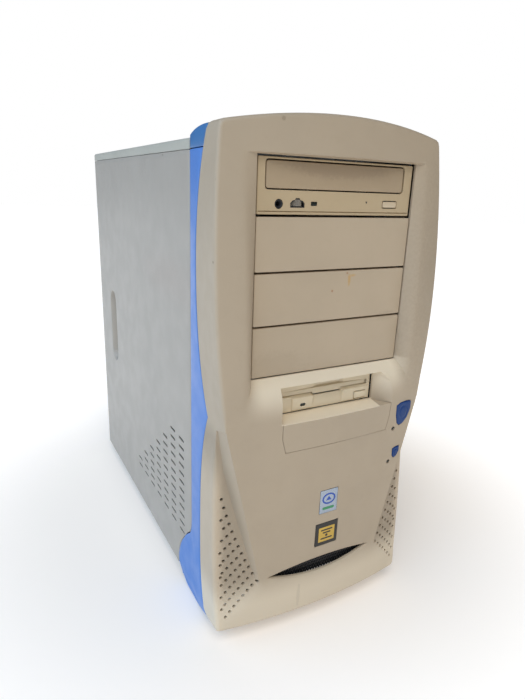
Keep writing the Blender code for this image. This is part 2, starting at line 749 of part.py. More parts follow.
def make_floppy_drive():
    body = box("floppy_drive_body", (-50.4, -193.0, 218.6), (50.4, -48, 242.8))
    cut(body, box("floppy_inside", (-49.2, -200, 219.8), (49.2, -49.2, 241.6)))
    paint(body, ZINC, 0.35, 0.8)
    slot = [(-46.5, 232.4), (-16.0, 232.4), (-16.0, 228.4), (16.0, 228.4), (16.0, 232.4),
            (46.5, 232.4), (46.5, 237.2), (-46.5, 237.2)]
    face = plate("floppy_faceplate", [rectangle((-50.6, FLOPPY_Z[0]), (50.6, FLOPPY_Z[1])), slot,
                                      rounded((38.0, 224.6), (6.6, 3.4), 0.6)],
                 "Y", FLOPPY_FACE, FLOPPY_FACE + 4)
    paint(face, BEIGE, 0.5)
    door = box("floppy_door", (-45.8, FLOPPY_FACE + 1.6, 228.8), (45.8, FLOPPY_FACE + 2.4, 236.6))
    ends = [box("door_end_" + str(i), (x, -200, 225), (x + 33.4, -190, 232.9))
            for i, x in enumerate((-49, 15.6))]
    cut(door, *ends)
    move_origin(door, (0.0, FLOPPY_FACE + 2.0, 236.6))
    paint(door, BLACK, 0.5)
    button = box("floppy_eject_button", (31.8, FLOPPY_FACE - 2.5, 221.6), (44.2, -192, 227.6), 0.5)
    paint(button, BEIGE, 0.5)


def make_hard_drive():
    drive = box("hard_drive", (-50.8, -166, 128), (50.8, -20, 153.4), 0.8)
    paint(drive, SILVER, 0.35, 0.7)


# ---------------------------------------------------------------- power supply

def fan_rotor(name, centre, axis, radius, depth, blades):
    """A hub with pitched blades, made for an axis along Z and then turned to its own axis."""
    hub = cylinder(name, (0, 0, 0), radius * 0.42, depth, "Z", 18)
    for index in range(blades):
        blade = box(name + "_blade_" + str(index), (radius * 0.36, -depth * 0.32, -0.8),
                    (radius, depth * 0.32, 0.8))
        pitch = Matrix.Rotation(math.radians(38), 4, "X")
        turn = Matrix.Rotation(2 * math.pi * index / blades, 4, "Z")
        blade.data.transform(Matrix.Translation(blade.location))
        blade.location = (0, 0, 0)
        blade.data.transform(turn @ pitch)
        turn_to_axis(blade, centre, axis)
        join(hub, blade)
    turn_to_axis(hub, centre, axis)
    return paint(hub, BLACK, 0.5)


def turn_to_axis(obj, centre, axis):
    obj.data.transform(AXES[axis])
    obj.location = Vector(centre) * MM


def grille_loops():
    """Slots stamped round the fan's axis, in two rings."""
    loops = []
    for index in range(12):
        start = 2 * math.pi * index / 12
        for inner, outer in ((9.0, 20.5), (23.0, 34.5)):
            span = [start + 0.10 + (2 * math.pi / 12 - 0.20) * i / 2 for i in range(3)]
            arc = [(PSU_FAN[0] + outer * math.cos(a), PSU_FAN[1] + outer * math.sin(a)) for a in span]
            arc += [(PSU_FAN[0] + inner * math.cos(a), PSU_FAN[1] + inner * math.sin(a))
                    for a in reversed(span)]
            loops.append(arc)
    return loops


def make_power_supply():
    low = (-PSU_X, PSU_Y[0], PSU_Z[0])
    high = (PSU_X, PSU_Y[1], PSU_Z[1])
    wall = 1.5
    rear = high[1] - wall
    base = plate("psu_base", [[(low[1], low[2]), (rear - 0.1, low[2]), (rear - 0.1, low[2] + wall),
                               (low[1] + wall, low[2] + wall), (low[1] + wall, PSU_INTAKE_Z),
                               (low[1], PSU_INTAKE_Z)]], "X", low[0], high[0])
    paint(base, ZINC, 0.35, 0.8)
    seam, top = low[2] + wall + 0.1, high[2] - wall
    side = high[0] - wall
    cover = plate("psu_cover", [[(low[0], seam), (-side, seam), (-side, top), (side, top),
                                 (side, seam), (high[0], seam), (high[0], high[2]),
                                 (low[0], high[2])]], "Y", low[1] + wall + 0.1, rear - 0.1)
    paint(cover, ZINC, 0.35, 0.8)
    openings = [rectangle((-60.4, 384.6), (-39.6, 399.4)), rectangle((-27.4, 388.6), (-12.6, 395.4))]
    notch = (INLET_CORNER[0] + 0.4, INLET_CORNER[1] + 0.4)
    outline = [(low[0], notch[1]), notch, (notch[0], low[2]), (high[0], low[2]), (high[0], high[2]),
               (low[0], high[2])]
    plate_rear = plate("psu_rear", [outline] + openings + grille_loops(), "Y", rear, high[1])
    paint(plate_rear, ZINC, 0.35, 0.8)
    fan_rotor("psu_fan", (PSU_FAN[0], 194.0, PSU_FAN[1]), "Y", 35.0, 18.0, 7)
    inlet = box("psu_inlet", (-64.0, 186.0, 352.0), (INLET_CORNER[0], 208.6, INLET_CORNER[1]), 0.8)
    join(inlet, box("inlet_flange", (low[0], rear + 0.1, low[2]),
                    (INLET_CORNER[0] - 0.2, high[1], INLET_CORNER[1] - 0.2), 0.3))
    cut(inlet, box("inlet_socket", (-61.5, 190.0, 354.5), (-38.5, 220.0, 369.5)))
    paint(inlet, BLACK, 0.5)
    tilt = Matrix.Rotation(math.radians(-8), 2)
    outline = [(-4.0, -5.5), (-4.0, 5.5), (7.0, 6.0), (5.2, 0.0), (7.0, -6.0)]
    outline = [tuple(tilt @ Vector(point) + Vector(ROCKER_PIVOT)) for point in outline]
    rocker = plate("psu_rocker_switch", [outline], "X", -60.0, -40.0)
    move_origin(rocker, (-50.0, *ROCKER_PIVOT))
    paint(rocker, BLACK, 0.4)
    selector = box("psu_voltage_selector", (-24.0, 202.0, 389.0), (-19.0, 208.4, 395.0), 0.3)
    paint(selector, (0.6, 0.05, 0.03), 0.4)


# ---------------------------------------------------------------- boards

def make_boards():
    board = plate("motherboard", [rectangle((BOARD_Y[0], BOARD_Z[0]), (BOARD_Y[1], BOARD_Z[1]))], "X",
                  BOARD_X - 1.7, BOARD_X)
    sockets = [box("slot_socket_" + str(i), (BOARD_X - 14, 60, SLOT_Z + i * SLOT_PITCH - 4),
                   (BOARD_X - 1, 145, SLOT_Z + i * SLOT_PITCH + 4)) for i in (0, 1, 3, 4)]
    ports = [box("board_ports_" + str(i), (BOARD_X - 34, 186, z), (BOARD_X - 1, 205, z + 34))
             for i, z in enumerate((178, 218, 258))]
    paint(join(board, *sockets, *ports), GREEN, 0.45)
    shield_holes = [rectangle((54, z), (82, z + 30)) for z in (180, 220, 260)]
    shield = plate("io_shield", [rectangle((40.6, 170.6), (83.8, 328.0))] + shield_holes, "Y",
                   207.2, 208.4)
    paint(shield, SILVER, 0.3, 0.9)
    fins = []
    for i in range(8):
        z = CPU_FAN[1] - 34 + i * 9.4
        fins += [(56.0, z), (56.0, z + 2.2), (80.0, z + 2.2), (80.0, z + 9.4)]
    fins = fins[:-1] + [(84.0, fins[-2][1]), (84.0, CPU_FAN[1] - 34)]
    sink = plate("cpu_heatsink", [fins], "Y", CPU_FAN[0] - 34, CPU_FAN[0] + 34)
    paint(sink, SILVER, 0.35, 0.9)
    fan_rotor("cpu_fan", (47.0, *CPU_FAN), "X", 28.0, 10.0, 7)
    frame = plate("cpu_fan_frame", [rounded(CPU_FAN, (33, 33), 4), circle(CPU_FAN, 30, 24)], "X",
                  40.0, 55.6)
    paint(frame, BLACK, 0.5)
    memory = box("memory_module", (53.0, 60.0, 190.0), (84.0, 63.2, 323.0))
    paint(memory, GREEN, 0.45)
    make_card("graphics_card", 5, 60.0, 90.0)
    make_card("sound_card", 2, 110.0, 70.0)
    for slot in (3, 4):
        z = SLOT_Z + slot * SLOT_PITCH
        cover = box("slot_cover_" + str(slot + 1), (-32, 206.4, z - 9), (84, 207.6, z + 9))
        paint(cover, ZINC, 0.35, 0.8)


def make_card(name, slot, y_front, height):
    z = SLOT_Z + slot * SLOT_PITCH
    card = box(name, (BOARD_X - 12 - height, y_front, z - 0.9), (BOARD_X - 15, 206.5, z + 0.9))
    edge = box(name + "_edge", (BOARD_X - 16, y_front + 5, z - 0.9),
               (BOARD_X - 14.4, y_front + 60, z + 0.9))
    bracket = box(name + "_bracket", (-32, 206.4, z - 9), (84, 207.6, z + 9))
    ports = box(name + "_ports", (30, 190, z - 6), (62, 211.0, z + 5.9))
    return paint(join(card, edge, bracket, ports), GREEN, 0.45)


def make_harness():
    route = smooth_route([(40, 67.4, 352), (40, 52, 350), (48, 36, 338), (62, 26, 318),
                          (68, 26, 296), (75, 26, 291), (79, 26, 290), (83.8, 26, 290)], 4)
    paint(wire("power_harness", route, 5.0), (0.35, 0.30, 0.05), 0.5)


def make_tower():
    make_front_bezel()
    make_trim("trim_left", -1)
    make_trim("trim_right", 1)
    make_top_trim()
    make_badges()
    make_buttons()
    make_intake_mesh()
    make_side_panel("side_panel_left", -1)
    make_side_panel("side_panel_right", 1)
    make_thumbscrews()
    make_top_cover()
    make_chassis()
    make_bay_covers()
    make_optical_drive()
    make_floppy_drive()
    make_hard_drive()
    make_power_supply()
    make_boards()
    make_harness()


for leftover in list(bpy.data.objects):
    bpy.data.objects.remove(leftover, do_unlink=True)
PARTS = new_collection("computer_tower")
CUTTERS = new_collection("cutters")
make_tower()
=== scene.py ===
"""Desktop computer tower: the visual model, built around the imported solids."""
import math

import bmesh
import bpy
from mathutils import Matrix, Vector
from mathutils.geometry import delaunay_2d_cdt
from mathutils.kdtree import KDTree
import numpy as np


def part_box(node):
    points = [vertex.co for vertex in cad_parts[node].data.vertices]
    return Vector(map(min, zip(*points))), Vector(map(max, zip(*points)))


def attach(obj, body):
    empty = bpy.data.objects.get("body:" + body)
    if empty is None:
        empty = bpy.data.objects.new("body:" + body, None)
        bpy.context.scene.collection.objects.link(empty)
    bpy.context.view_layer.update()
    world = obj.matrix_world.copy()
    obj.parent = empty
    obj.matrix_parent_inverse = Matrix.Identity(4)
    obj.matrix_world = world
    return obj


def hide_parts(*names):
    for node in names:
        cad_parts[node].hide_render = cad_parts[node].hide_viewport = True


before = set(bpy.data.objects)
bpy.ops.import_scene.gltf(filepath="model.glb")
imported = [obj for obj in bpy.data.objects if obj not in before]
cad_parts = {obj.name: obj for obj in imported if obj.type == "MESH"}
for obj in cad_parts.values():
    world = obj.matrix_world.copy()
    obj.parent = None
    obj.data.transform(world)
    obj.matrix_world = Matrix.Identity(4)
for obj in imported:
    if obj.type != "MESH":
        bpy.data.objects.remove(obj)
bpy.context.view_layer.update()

MM = 0.001

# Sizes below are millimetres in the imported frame. The ones that other pieces meet are read from it.


def corners(node):
    """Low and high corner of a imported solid."""
    low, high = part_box(node)
    return [v / MM for v in low], [v / MM for v in high]


def middle_and_half(low, high, less_x=0.0, less_z=0.0):
    """Middle and half size of a box seen from ahead, in X and Z, less a margin on each side."""
    middle = ((low[0] + high[0]) / 2, (low[2] + high[2]) / 2)
    return middle, ((high[0] - low[0]) / 2 - less_x, (high[2] - low[2]) / 2 - less_z)


OPTICAL_LOW, OPTICAL_HIGH = corners("optical_faceplate")
FLOPPY_LOW, FLOPPY_HIGH = corners("floppy_faceplate")
TOP_LOW, TOP_HIGH = corners("top_cover")
BADGES = {name: corners(name) for name in ("case_badge", "processor_badge")}

GAP = 0.35
SHEET = 1.2
CASE_HALF = 100.0
PANEL_HALF = CASE_HALF + 0.6
PANEL_FRONT, PANEL_BOTTOM = corners("side_panel_left")[0][1:]
CASE_REAR = corners("rear_panel")[1][1]
SEAM_Z = TOP_LOW[2]
CASE_TOP = TOP_HIGH[2]
BAY_HALF = corners("bay_cover_1")[1][0]
BAY_REACH = BAY_HALF + 0.5
BAY_TOP = OPTICAL_HIGH[2] + 0.3
BAY_BOTTOM = corners("bay_cover_3")[0][2] - 0.3
BAY_FOOT = BAY_BOTTOM - 0.3

# Moulded front
BEZEL_BOTTOM = 17.0
BOTTOM_SLOPE = 6.0
CUSP_Z = 216.0
WAIST_Z = 333.0
WAIST_HALF = 108.6
KNEE_Z = 235.0
KNEE_Y = -217.0
SCALLOP_Z = 343.0
SCALLOP_Y = -156.0
SCALLOP_DEPTH = 20.0
ARCH_TOP = 454.0
ARCH_DROP = 10.3
CORNER_HALF = 103.0
CORNER_CUT = 3.8
WALL = 2.2
RIM_Y = -202.5
RECESS_RAMP = 11.3
RECESS_CURVE = 2.4
CHIN_LOW = 222.0
CHIN_CURVE = 3.5
SMILE_HALF = 56.0
SMILE_Z = 65.0
SMILE_RISE = 6.0
SMILE_DROP = 9.0
SMILE_LIP = 2.2


# ---------------------------------------------------------------- shape of the moulded front

def half_width(z):
    """Half the width of the moulded front at a height."""
    if z > WAIST_Z:
        return WAIST_HALF - 0.0005 * (z - WAIST_Z) ** 2
    if z > CUSP_Z:
        return WAIST_HALF - 0.00062 * (z - WAIST_Z) ** 2
    return 100.3 + 4.8 * (1 - ((z - 90) / 126) ** 2)


def face_y(x, z):
    """Depth of the plain face, before its recesses: it leans back above and below the knee."""
    if z > KNEE_Z:
        middle = KNEE_Y + 8.5 * ((z - KNEE_Z) / 210) ** 2
    else:
        middle = KNEE_Y + 2 * (KNEE_Z - z) / 218
    return middle + (5 + 4.2 * ((z - 223) / 215) ** 2) * (x / 100) ** 2


def side_edge_y(z):
    """Depth of the scalloped edge between the beige front and the blue trim."""
    if z > SCALLOP_Z:
        return SCALLOP_Y - SCALLOP_DEPTH * ((z - SCALLOP_Z) / 100) ** 2
    if z > CUSP_Z:
        return SCALLOP_Y - SCALLOP_DEPTH * ((SCALLOP_Z - z) / (SCALLOP_Z - CUSP_Z)) ** 2
    return -164 - 12.5 * abs((z - 112) / 104) ** 3.2


def clamp(value, low=0.0, high=1.0):
    return max(low, min(high, value))


def smooth_step(value):
    t = clamp(value)
    return t * t * (3 - 2 * t)


def side_x(y, z):
    """Half-width of the side wall and of the trim, narrowing towards the side panels."""
    front = face_y(half_width(z), z)
    share = clamp((y - front) / (PANEL_FRONT - front))
    return half_width(z) + (PANEL_HALF - half_width(z)) * share


def arch_z(x):
    """Height of the arched top."""
    return ARCH_TOP - ARCH_DROP * (x / CORNER_HALF) ** 2


RIDGE = ((99.9, 216.5), (64.6, 62.0))
FACET_END = ((62.0, 62.0), (96.0, 30.0))


def line_distance(point, line):
    """Distance of a point to the left of a line that runs from line[0] to line[1]."""
    a, b = Vector(line[0]), Vector(line[1])
    along = (b - a).normalized()
    away = Vector(point) - a
    return along.x * away.y - along.y * away.x


def facet_ramp(z):
    """Width of the steep wall between the ridge and the facet."""
    return min(2.4 + 2.4 * clamp((z - 62) / 80), max(0.9, (217 - z) * 0.12))


def facet_share(x, z):
    """How far a point lies on the lower corner facets, from 0 to 1."""
    beside = line_distance((abs(x), z), RIDGE) / facet_ramp(z)
    above = line_distance((abs(x), z), FACET_END) / 20.0 + 0.45
    return clamp(0.5 * clamp(beside) + 0.5 * smooth_step(beside)) * smooth_step(above)


def facet_y(x, z):
    """Depth of the flat facets in the lower corners."""
    return -205.39 + 0.1605 * (abs(x) - 80) + 0.0579 * (z - 83)


def recess_share(x, z):
    """How deep a point lies in the bay recess: 0 on the plain face, 1 at the bays."""
    height = clamp((z - BAY_BOTTOM) / (BAY_TOP - BAY_BOTTOM))
    side = clamp(1 - (abs(x) - BAY_REACH) / RECESS_RAMP) ** (RECESS_CURVE - (RECESS_CURVE - 1) * height)
    chin = clamp((z - CHIN_LOW) / (BAY_FOOT - CHIN_LOW)) ** CHIN_CURVE
    top = clamp((BAY_TOP + 1.3 - z) / 0.7)
    return min(side, chin, top)


FLOPPY_INNER = (-51.2, 217.2, 51.2, 243.8)
FLOPPY_OUTER = [(-51.7, 246.2), (53.6, 246.2), (57.6, 242.6), (61.0, 238.0), (63.8, 232.6), (65.6, 225.5),
                (66.3, 216.0), (51.2, 217.2), (-51.2, 217.2), (-50.5, 215.9), (-51.7, 215.9)]


def front_y(x, z):
    """Depth of the front with its recesses."""
    low_x, low_z, high_x, high_z = FLOPPY_INNER
    if low_x - 0.1 < x < high_x + 0.1 and low_z - 0.1 < z < high_z + 0.1:
        return RIM_Y
    y = face_y(x, z)
    y += max(0.0, RIM_Y - y) * recess_share(x, z)
    if z < CUSP_Z:
        y += max(0.0, facet_y(x, z) - y) * facet_share(x, z)
    for low, high in BADGES.values():
        if low[0] - GAP < x < high[0] + GAP and low[2] - GAP < z < high[2] + GAP:
            return high[1] + 0.15
    lip = smile_distance(x, z)
    if lip < SMILE_LIP:
        y += 1.5 * (1 - max(0.0, lip) / SMILE_LIP) ** 2
    return y


def smile_distance(x, z):
    """Distance of a point from the smile-shaped intake, roughly; it is below zero inside it."""
    if abs(x) > SMILE_HALF + SMILE_LIP:
        return 9.0
    share = 1 - (clamp(x, -SMILE_HALF, SMILE_HALF) / SMILE_HALF) ** 2
    return max(SMILE_Z - SMILE_DROP * share - z, z - (SMILE_Z + SMILE_RISE * share), abs(x) - SMILE_HALF)


def smile_outline(amount):
    """Outline of the intake, widened by an amount."""
    steps = 40
    shares = [1 - 2 * i / steps for i in range(steps)]
    half = SMILE_HALF + amount
    upper = [(half * s, SMILE_Z + (SMILE_RISE + amount) * (1 - s ** 2)) for s in shares]
    lower = [(-half * s, SMILE_Z - (SMILE_DROP + amount) * (1 - s ** 2)) for s in shares]
    return upper + lower


# ---------------------------------------------------------------- outlines

def resample(loop, pitch, closed=True):
    """The same outline with points no further apart than the pitch."""
    ends = list(loop) + ([loop[0]] if closed else [])
    points = []
    for a, b in zip(ends, ends[1:]):
        count = max(1, math.ceil((Vector(b) - Vector(a)).length / pitch - 1e-6))
        points += [tuple(Vector(a).lerp(Vector(b), i / count)) for i in range(count)]
    return points if closed else points + [tuple(ends[-1])]


def open_crease(points, pitch):
    return resample(points, pitch, False), False


def rounded(centre, half, radius, steps):
    """A rectangle with round corners."""
    loop = []
    for turn, (sx, sy) in enumerate(((1, 1), (-1, 1), (-1, -1), (1, -1))):
        for i in range(steps + 1):
            a = math.pi / 2 * (turn + i / steps)
            loop.append((centre[0] + sx * (half[0] - radius) + radius * math.cos(a),
                         centre[1] + sy * (half[1] - radius) + radius * math.sin(a)))
    return loop


def ellipse(centre, half, steps):
    turns = [2 * math.pi * i / steps for i in range(steps)]
    return [(centre[0] + half[0] * math.cos(a), centre[1] + half[1] * math.sin(a)) for a in turns]


def circle(centre, radius, steps):
    return ellipse(centre, (radius, radius), steps)


def rectangle(low, high):
    return [tuple(low), (high[0], low[1]), tuple(high), (low[0], high[1])]


def with_neighbours(loop):
    """Each point of an outline between the ones before and after it, as vectors."""
    vectors = [Vector(p) for p in loop]
    return list(zip(vectors[-1:] + vectors[:-1], vectors, vectors[1:] + vectors[:1]))


def grow(loop, amount):
    """Moves each side of a counter-clockwise outline outwards."""
    grown = []
    for a, b, c in with_neighbours(loop):
        first, second = (b - a).normalized(), (c - b).normalized()
        normal = Vector((first.y + second.y, -first.x - second.x))
        size = max(normal.length, 0.6)
        grown.append(tuple(b + normal / size * (2 * amount / size)))
    return grown


def bend(start, corner, end, t):
    """A point on the curve that takes the place of a corner."""
    return tuple(start * (1 - t) ** 2 + corner * 2 * t * (1 - t) + end * t * t)


def round_corners(loop, cut, steps):
    """Replaces each corner by a curve that starts the given length before it."""
    result = []
    for a, b, c in with_neighbours(loop):
        first = min(cut, (b - a).length * 0.49)
        second = min(cut, (c - b).length * 0.49)
        start, end = b + (a - b).normalized() * first, b + (c - b).normalized() * second
        result += [bend(start, b, end, k / steps) for k in range(steps + 1)]
    return result


def counter_clockwise(loop):
    area = 0.5 * sum(a[0] * b[1] - b[0] * a[1] for a, b in zip(loop, loop[1:] + loop[:1]))
    return loop if area > 0 else loop[::-1]


def rounding(start, end, radius, steps):
    """Points over a rounded edge, from its inner to its outer line, each with its drop from the face."""
    for k in range(1, steps + 1):
        a = math.pi / 2 * k / steps
        yield (start[0] + (end[0] - start[0]) * math.sin(a), start[1] + (end[1] - start[1]) * math.sin(a),
               radius * (1 - math.cos(a)))


# ---------------------------------------------------------------- meshes

def finish_mesh(name, bm, material, sharp=32.0):
    """Makes the object, scaled to metres, smooth but for its sharp edges."""
    bmesh.ops.recalc_face_normals(bm, faces=bm.faces)
    limit = math.radians(sharp)
    for face in bm.faces:
        face.smooth = True
    for edge in bm.edges:
        if len(edge.link_faces) == 2 and edge.calc_face_angle(0.0) > limit:
            edge.smooth = False
    bm.transform(Matrix.Scale(MM, 4))
    mesh = bpy.data.meshes.new(name)
    bm.to_mesh(mesh)
    bm.free()
    mesh.materials.append(material)
    obj = bpy.data.objects.new(name, mesh)
    bpy.context.scene.collection.objects.link(obj)
    return obj


def inside_mask(points, loops):
    """Which points lie inside an odd number of the loops."""
    starts, ends = [], []
    for loop in loops:
        starts += loop
        ends += loop[1:] + loop[:1]
    a, b = np.array(starts), np.array(ends)
    inside = np.zeros(len(points), bool)
    for low in range(0, len(points), 2000):
        p = np.array(points[low:low + 2000])
        px, py = p[:, 0][:, None], p[:, 1][:, None]
        crosses = (a[:, 1] > py) != (b[:, 1] > py)
        rise = np.where(b[:, 1] == a[:, 1], 1.0, b[:, 1] - a[:, 1])
        at = (b[:, 0] - a[:, 0]) * (py - a[:, 1]) / rise + a[:, 0]
        inside[low:low + 2000] = (crosses & (px < at)).sum(1) % 2 == 1
    return inside


def relief(name, outline, holes, place, pitch, material, creases=(), skirt=None, sharp=32.0,
           quiet=()):
    """A closed plate over a flat outline with holes. place(a, b, layer) puts a point of its front
    (layer 0) or its back (layer 1) in space, and skirt(index) lists the points between the two faces
    behind a point of the outline. No grid points are made inside the quiet loops."""
    loops = [list(outline)] + [list(h) for h in holes]
    points, edges = [], []
    for line, closed in [(loop, True) for loop in loops] + list(creases):
        first, count = len(points), len(line)
        points += line
        edges += [(first + i, first + (i + 1) % count) for i in range(count if closed else count - 1)]
    tree = KDTree(len(points))
    for i, p in enumerate(points):
        tree.insert((*p, 0.0), i)
    tree.balance()
    xs, ys = [p[0] for p in outline], [p[1] for p in outline]
    grid = []
    row, y = 0, min(ys) + pitch / 2
    while y < max(ys):
        x = min(xs) + pitch * (0.25 if row % 2 else 0.75)
        while x < max(xs):
            grid.append((x, y))
            x += pitch
        y += pitch * 0.87
        row += 1
    if grid:
        keep = inside_mask(grid, loops)
        for loop in quiet:
            keep &= ~inside_mask(grid, [loop])
        grid = [g for g, k in zip(grid, keep) if k and tree.find((*g, 0.0))[2] > pitch * 0.5]
    verts, _, faces, sources, _, _ = delaunay_2d_cdt([Vector(p) for p in points + grid], edges, [], 0,
                                                     1e-5)
    middles = [tuple(sum((verts[i] for i in face), Vector((0.0, 0.0))) / len(face)) for face in faces]
    kept = [face for face, k in zip(faces, inside_mask(middles, loops)) if k]
    bm = bmesh.new()
    used = sorted({i for face in kept for i in face})
    layers = [{i: bm.verts.new(place(verts[i][0], verts[i][1], layer)) for i in used}
              for layer in (0, 1)]
    sides = {}  # a dict and not a set, so that their order is the same each time
    for face in kept:
        bm.faces.new([layers[0][i] for i in face])
        bm.faces.new([layers[1][i] for i in reversed(face)])
        for a, b in zip(face, face[1:] + face[:1]):
            sides[(a, b)] = True
    paths = {}

    def path(i):
        if i not in paths:
            between = []
            rim = [s for s in sources[i] if s < len(outline)]
            if skirt and rim:
                between = [bm.verts.new(p) for p in skirt(rim[0])]
            paths[i] = [layers[0][i]] + between + [layers[1][i]]
        return paths[i]

    for a, b in sides:
        if (b, a) in sides:
            continue
        one, two = path(a), path(b)
        if len(one) != len(two):
            one, two = [one[0], one[-1]], [two[0], two[-1]]
        for k in range(len(one) - 1):
            bm.faces.new((one[k], one[k + 1], two[k + 1], two[k]))
    return finish_mesh(name, bm, material, sharp)


def moulding(name, loop, front, back_y, radius, pitch, material, holes=(), creases=(), sharp=32.0):
    """A closed part seen from ahead with rounded outer edges. Its front is a depth, or a rule
    that gives the depth at x, z."""
    loop = counter_clockwise(loop)
    inset = grow(loop, -radius)

    def depth(x, z):
        return front(x, z) if callable(front) else front

    def skirt(i):
        start = depth(*inset[i])
        points = [(x, start + drop, z) for x, z, drop in rounding(inset[i], loop[i], radius, 3)]
        return points + [(loop[i][0], back_y, loop[i][1])]

    def place(x, z, layer):
        return (x, back_y if layer else depth(x, z), z)
    return relief(name, inset, holes, place, pitch, material, creases, skirt, sharp)


def grid_solid(name, nu, nv, upper, lower, material, bevel=0.0, sharp=32.0):
    """A closed block between two curved faces; each rule takes shares along and across."""
    bm = bmesh.new()
    top, bottom = [[[bm.verts.new(rule(i / nu, j / nv)) for j in range(nv + 1)] for i in range(nu + 1)]
                   for rule in (upper, lower)]
    for i in range(nu):
        for j in range(nv):
            bm.faces.new((top[i][j], top[i + 1][j], top[i + 1][j + 1], top[i][j + 1]))
            bm.faces.new((bottom[i][j], bottom[i][j + 1], bottom[i + 1][j + 1], bottom[i + 1][j]))
    rim = ([(i, 0) for i in range(nu)] + [(nu, j) for j in range(nv)]
           + [(i, nv) for i in range(nu, 0, -1)] + [(0, j) for j in range(nv, 0, -1)])
    for a, b in zip(rim, rim[1:] + rim[:1]):
        bm.faces.new((top[a[0]][a[1]], bottom[a[0]][a[1]], bottom[b[0]][b[1]], top[b[0]][b[1]]))
    if bevel:
        bmesh.ops.recalc_face_normals(bm, faces=bm.faces)
        edges = [e for e in bm.edges if e.calc_face_angle(0.0) > math.radians(50)]
        bmesh.ops.bevel(bm, geom=edges, offset=bevel, segments=2, profile=0.5, affect="EDGES",
                        clamp_overlap=True)
    return finish_mesh(name, bm, material, sharp)


def lathe(name, profile, origin, material, steps):
    """A solid turned about a line along Y: the profile is (radius, distance behind the origin)."""
    bm = bmesh.new()
    rings = []
    for radius, height in profile:
        ring = circle((0.0, 0.0), radius, steps) if radius else [(0.0, 0.0)]
        rings.append([bm.verts.new((x, y, height)) for x, y in ring])
    for low, high in zip(rings, rings[1:]):
        for i in range(steps):
            k = (i + 1) % steps
            ring = [low[i % len(low)], low[k % len(low)], high[k % len(high)], high[i % len(high)]]
            corners_once = list(dict.fromkeys(ring))
            if len(corners_once) > 2:
                bm.faces.new(corners_once)
    bm.transform(Matrix.Translation(Vector(origin)) @ Matrix.Rotation(-math.pi / 2, 4, "X"))
    return finish_mesh(name, bm, material, 40.0)


def block(name, low, high, bevel, material):
    """A box with rounded edges."""
    bm = bmesh.new()
    bmesh.ops.create_cube(bm, size=1.0)
    low, high = Vector(low), Vector(high)
    for vertex in bm.verts:
        vertex.co = Vector([l + (h - l) * (c + 0.5) for l, h, c in zip(low, high, vertex.co)])
    bmesh.ops.bevel(bm, geom=list(bm.edges), offset=bevel, segments=3, profile=0.5, affect="EDGES",
                    clamp_overlap=True)
    return finish_mesh(name, bm, material, 40.0)


def joined(name, parts):
    """One object from several, with their materials kept."""
    for obj in bpy.context.selected_objects:
        obj.select_set(False)
    for obj in parts:
        obj.select_set(True)
    bpy.context.view_layer.objects.active = parts[0]
    bpy.ops.object.join()
    parts[0].name = name
    parts[0].select_set(False)
    return parts[0]


def set_in(obj, body, slot_name, *nodes):
    """Lets a piece ride on its body and stand for CAD nodes, whose solids it hides; slot_name is not used.
    """
    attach(obj, body)
    if nodes:
        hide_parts(*nodes)


# ---------------------------------------------------------------- materials

def fill(node, values):
    """Sets or links the inputs of a node, by name or by number."""
    for key, value in values.items():
        socket = node.inputs[key]
        if isinstance(value, bpy.types.NodeSocket):
            node.id_data.links.new(value, socket)
        elif socket.type == "RGBA":
            socket.default_value = (*value, 1.0)
        else:
            socket.default_value = value


def add_node(tree, kind, values, **settings):
    node = tree.nodes.new("ShaderNode" + kind)
    for key, value in settings.items():
        setattr(node, key, value)
    fill(node, values)
    return node


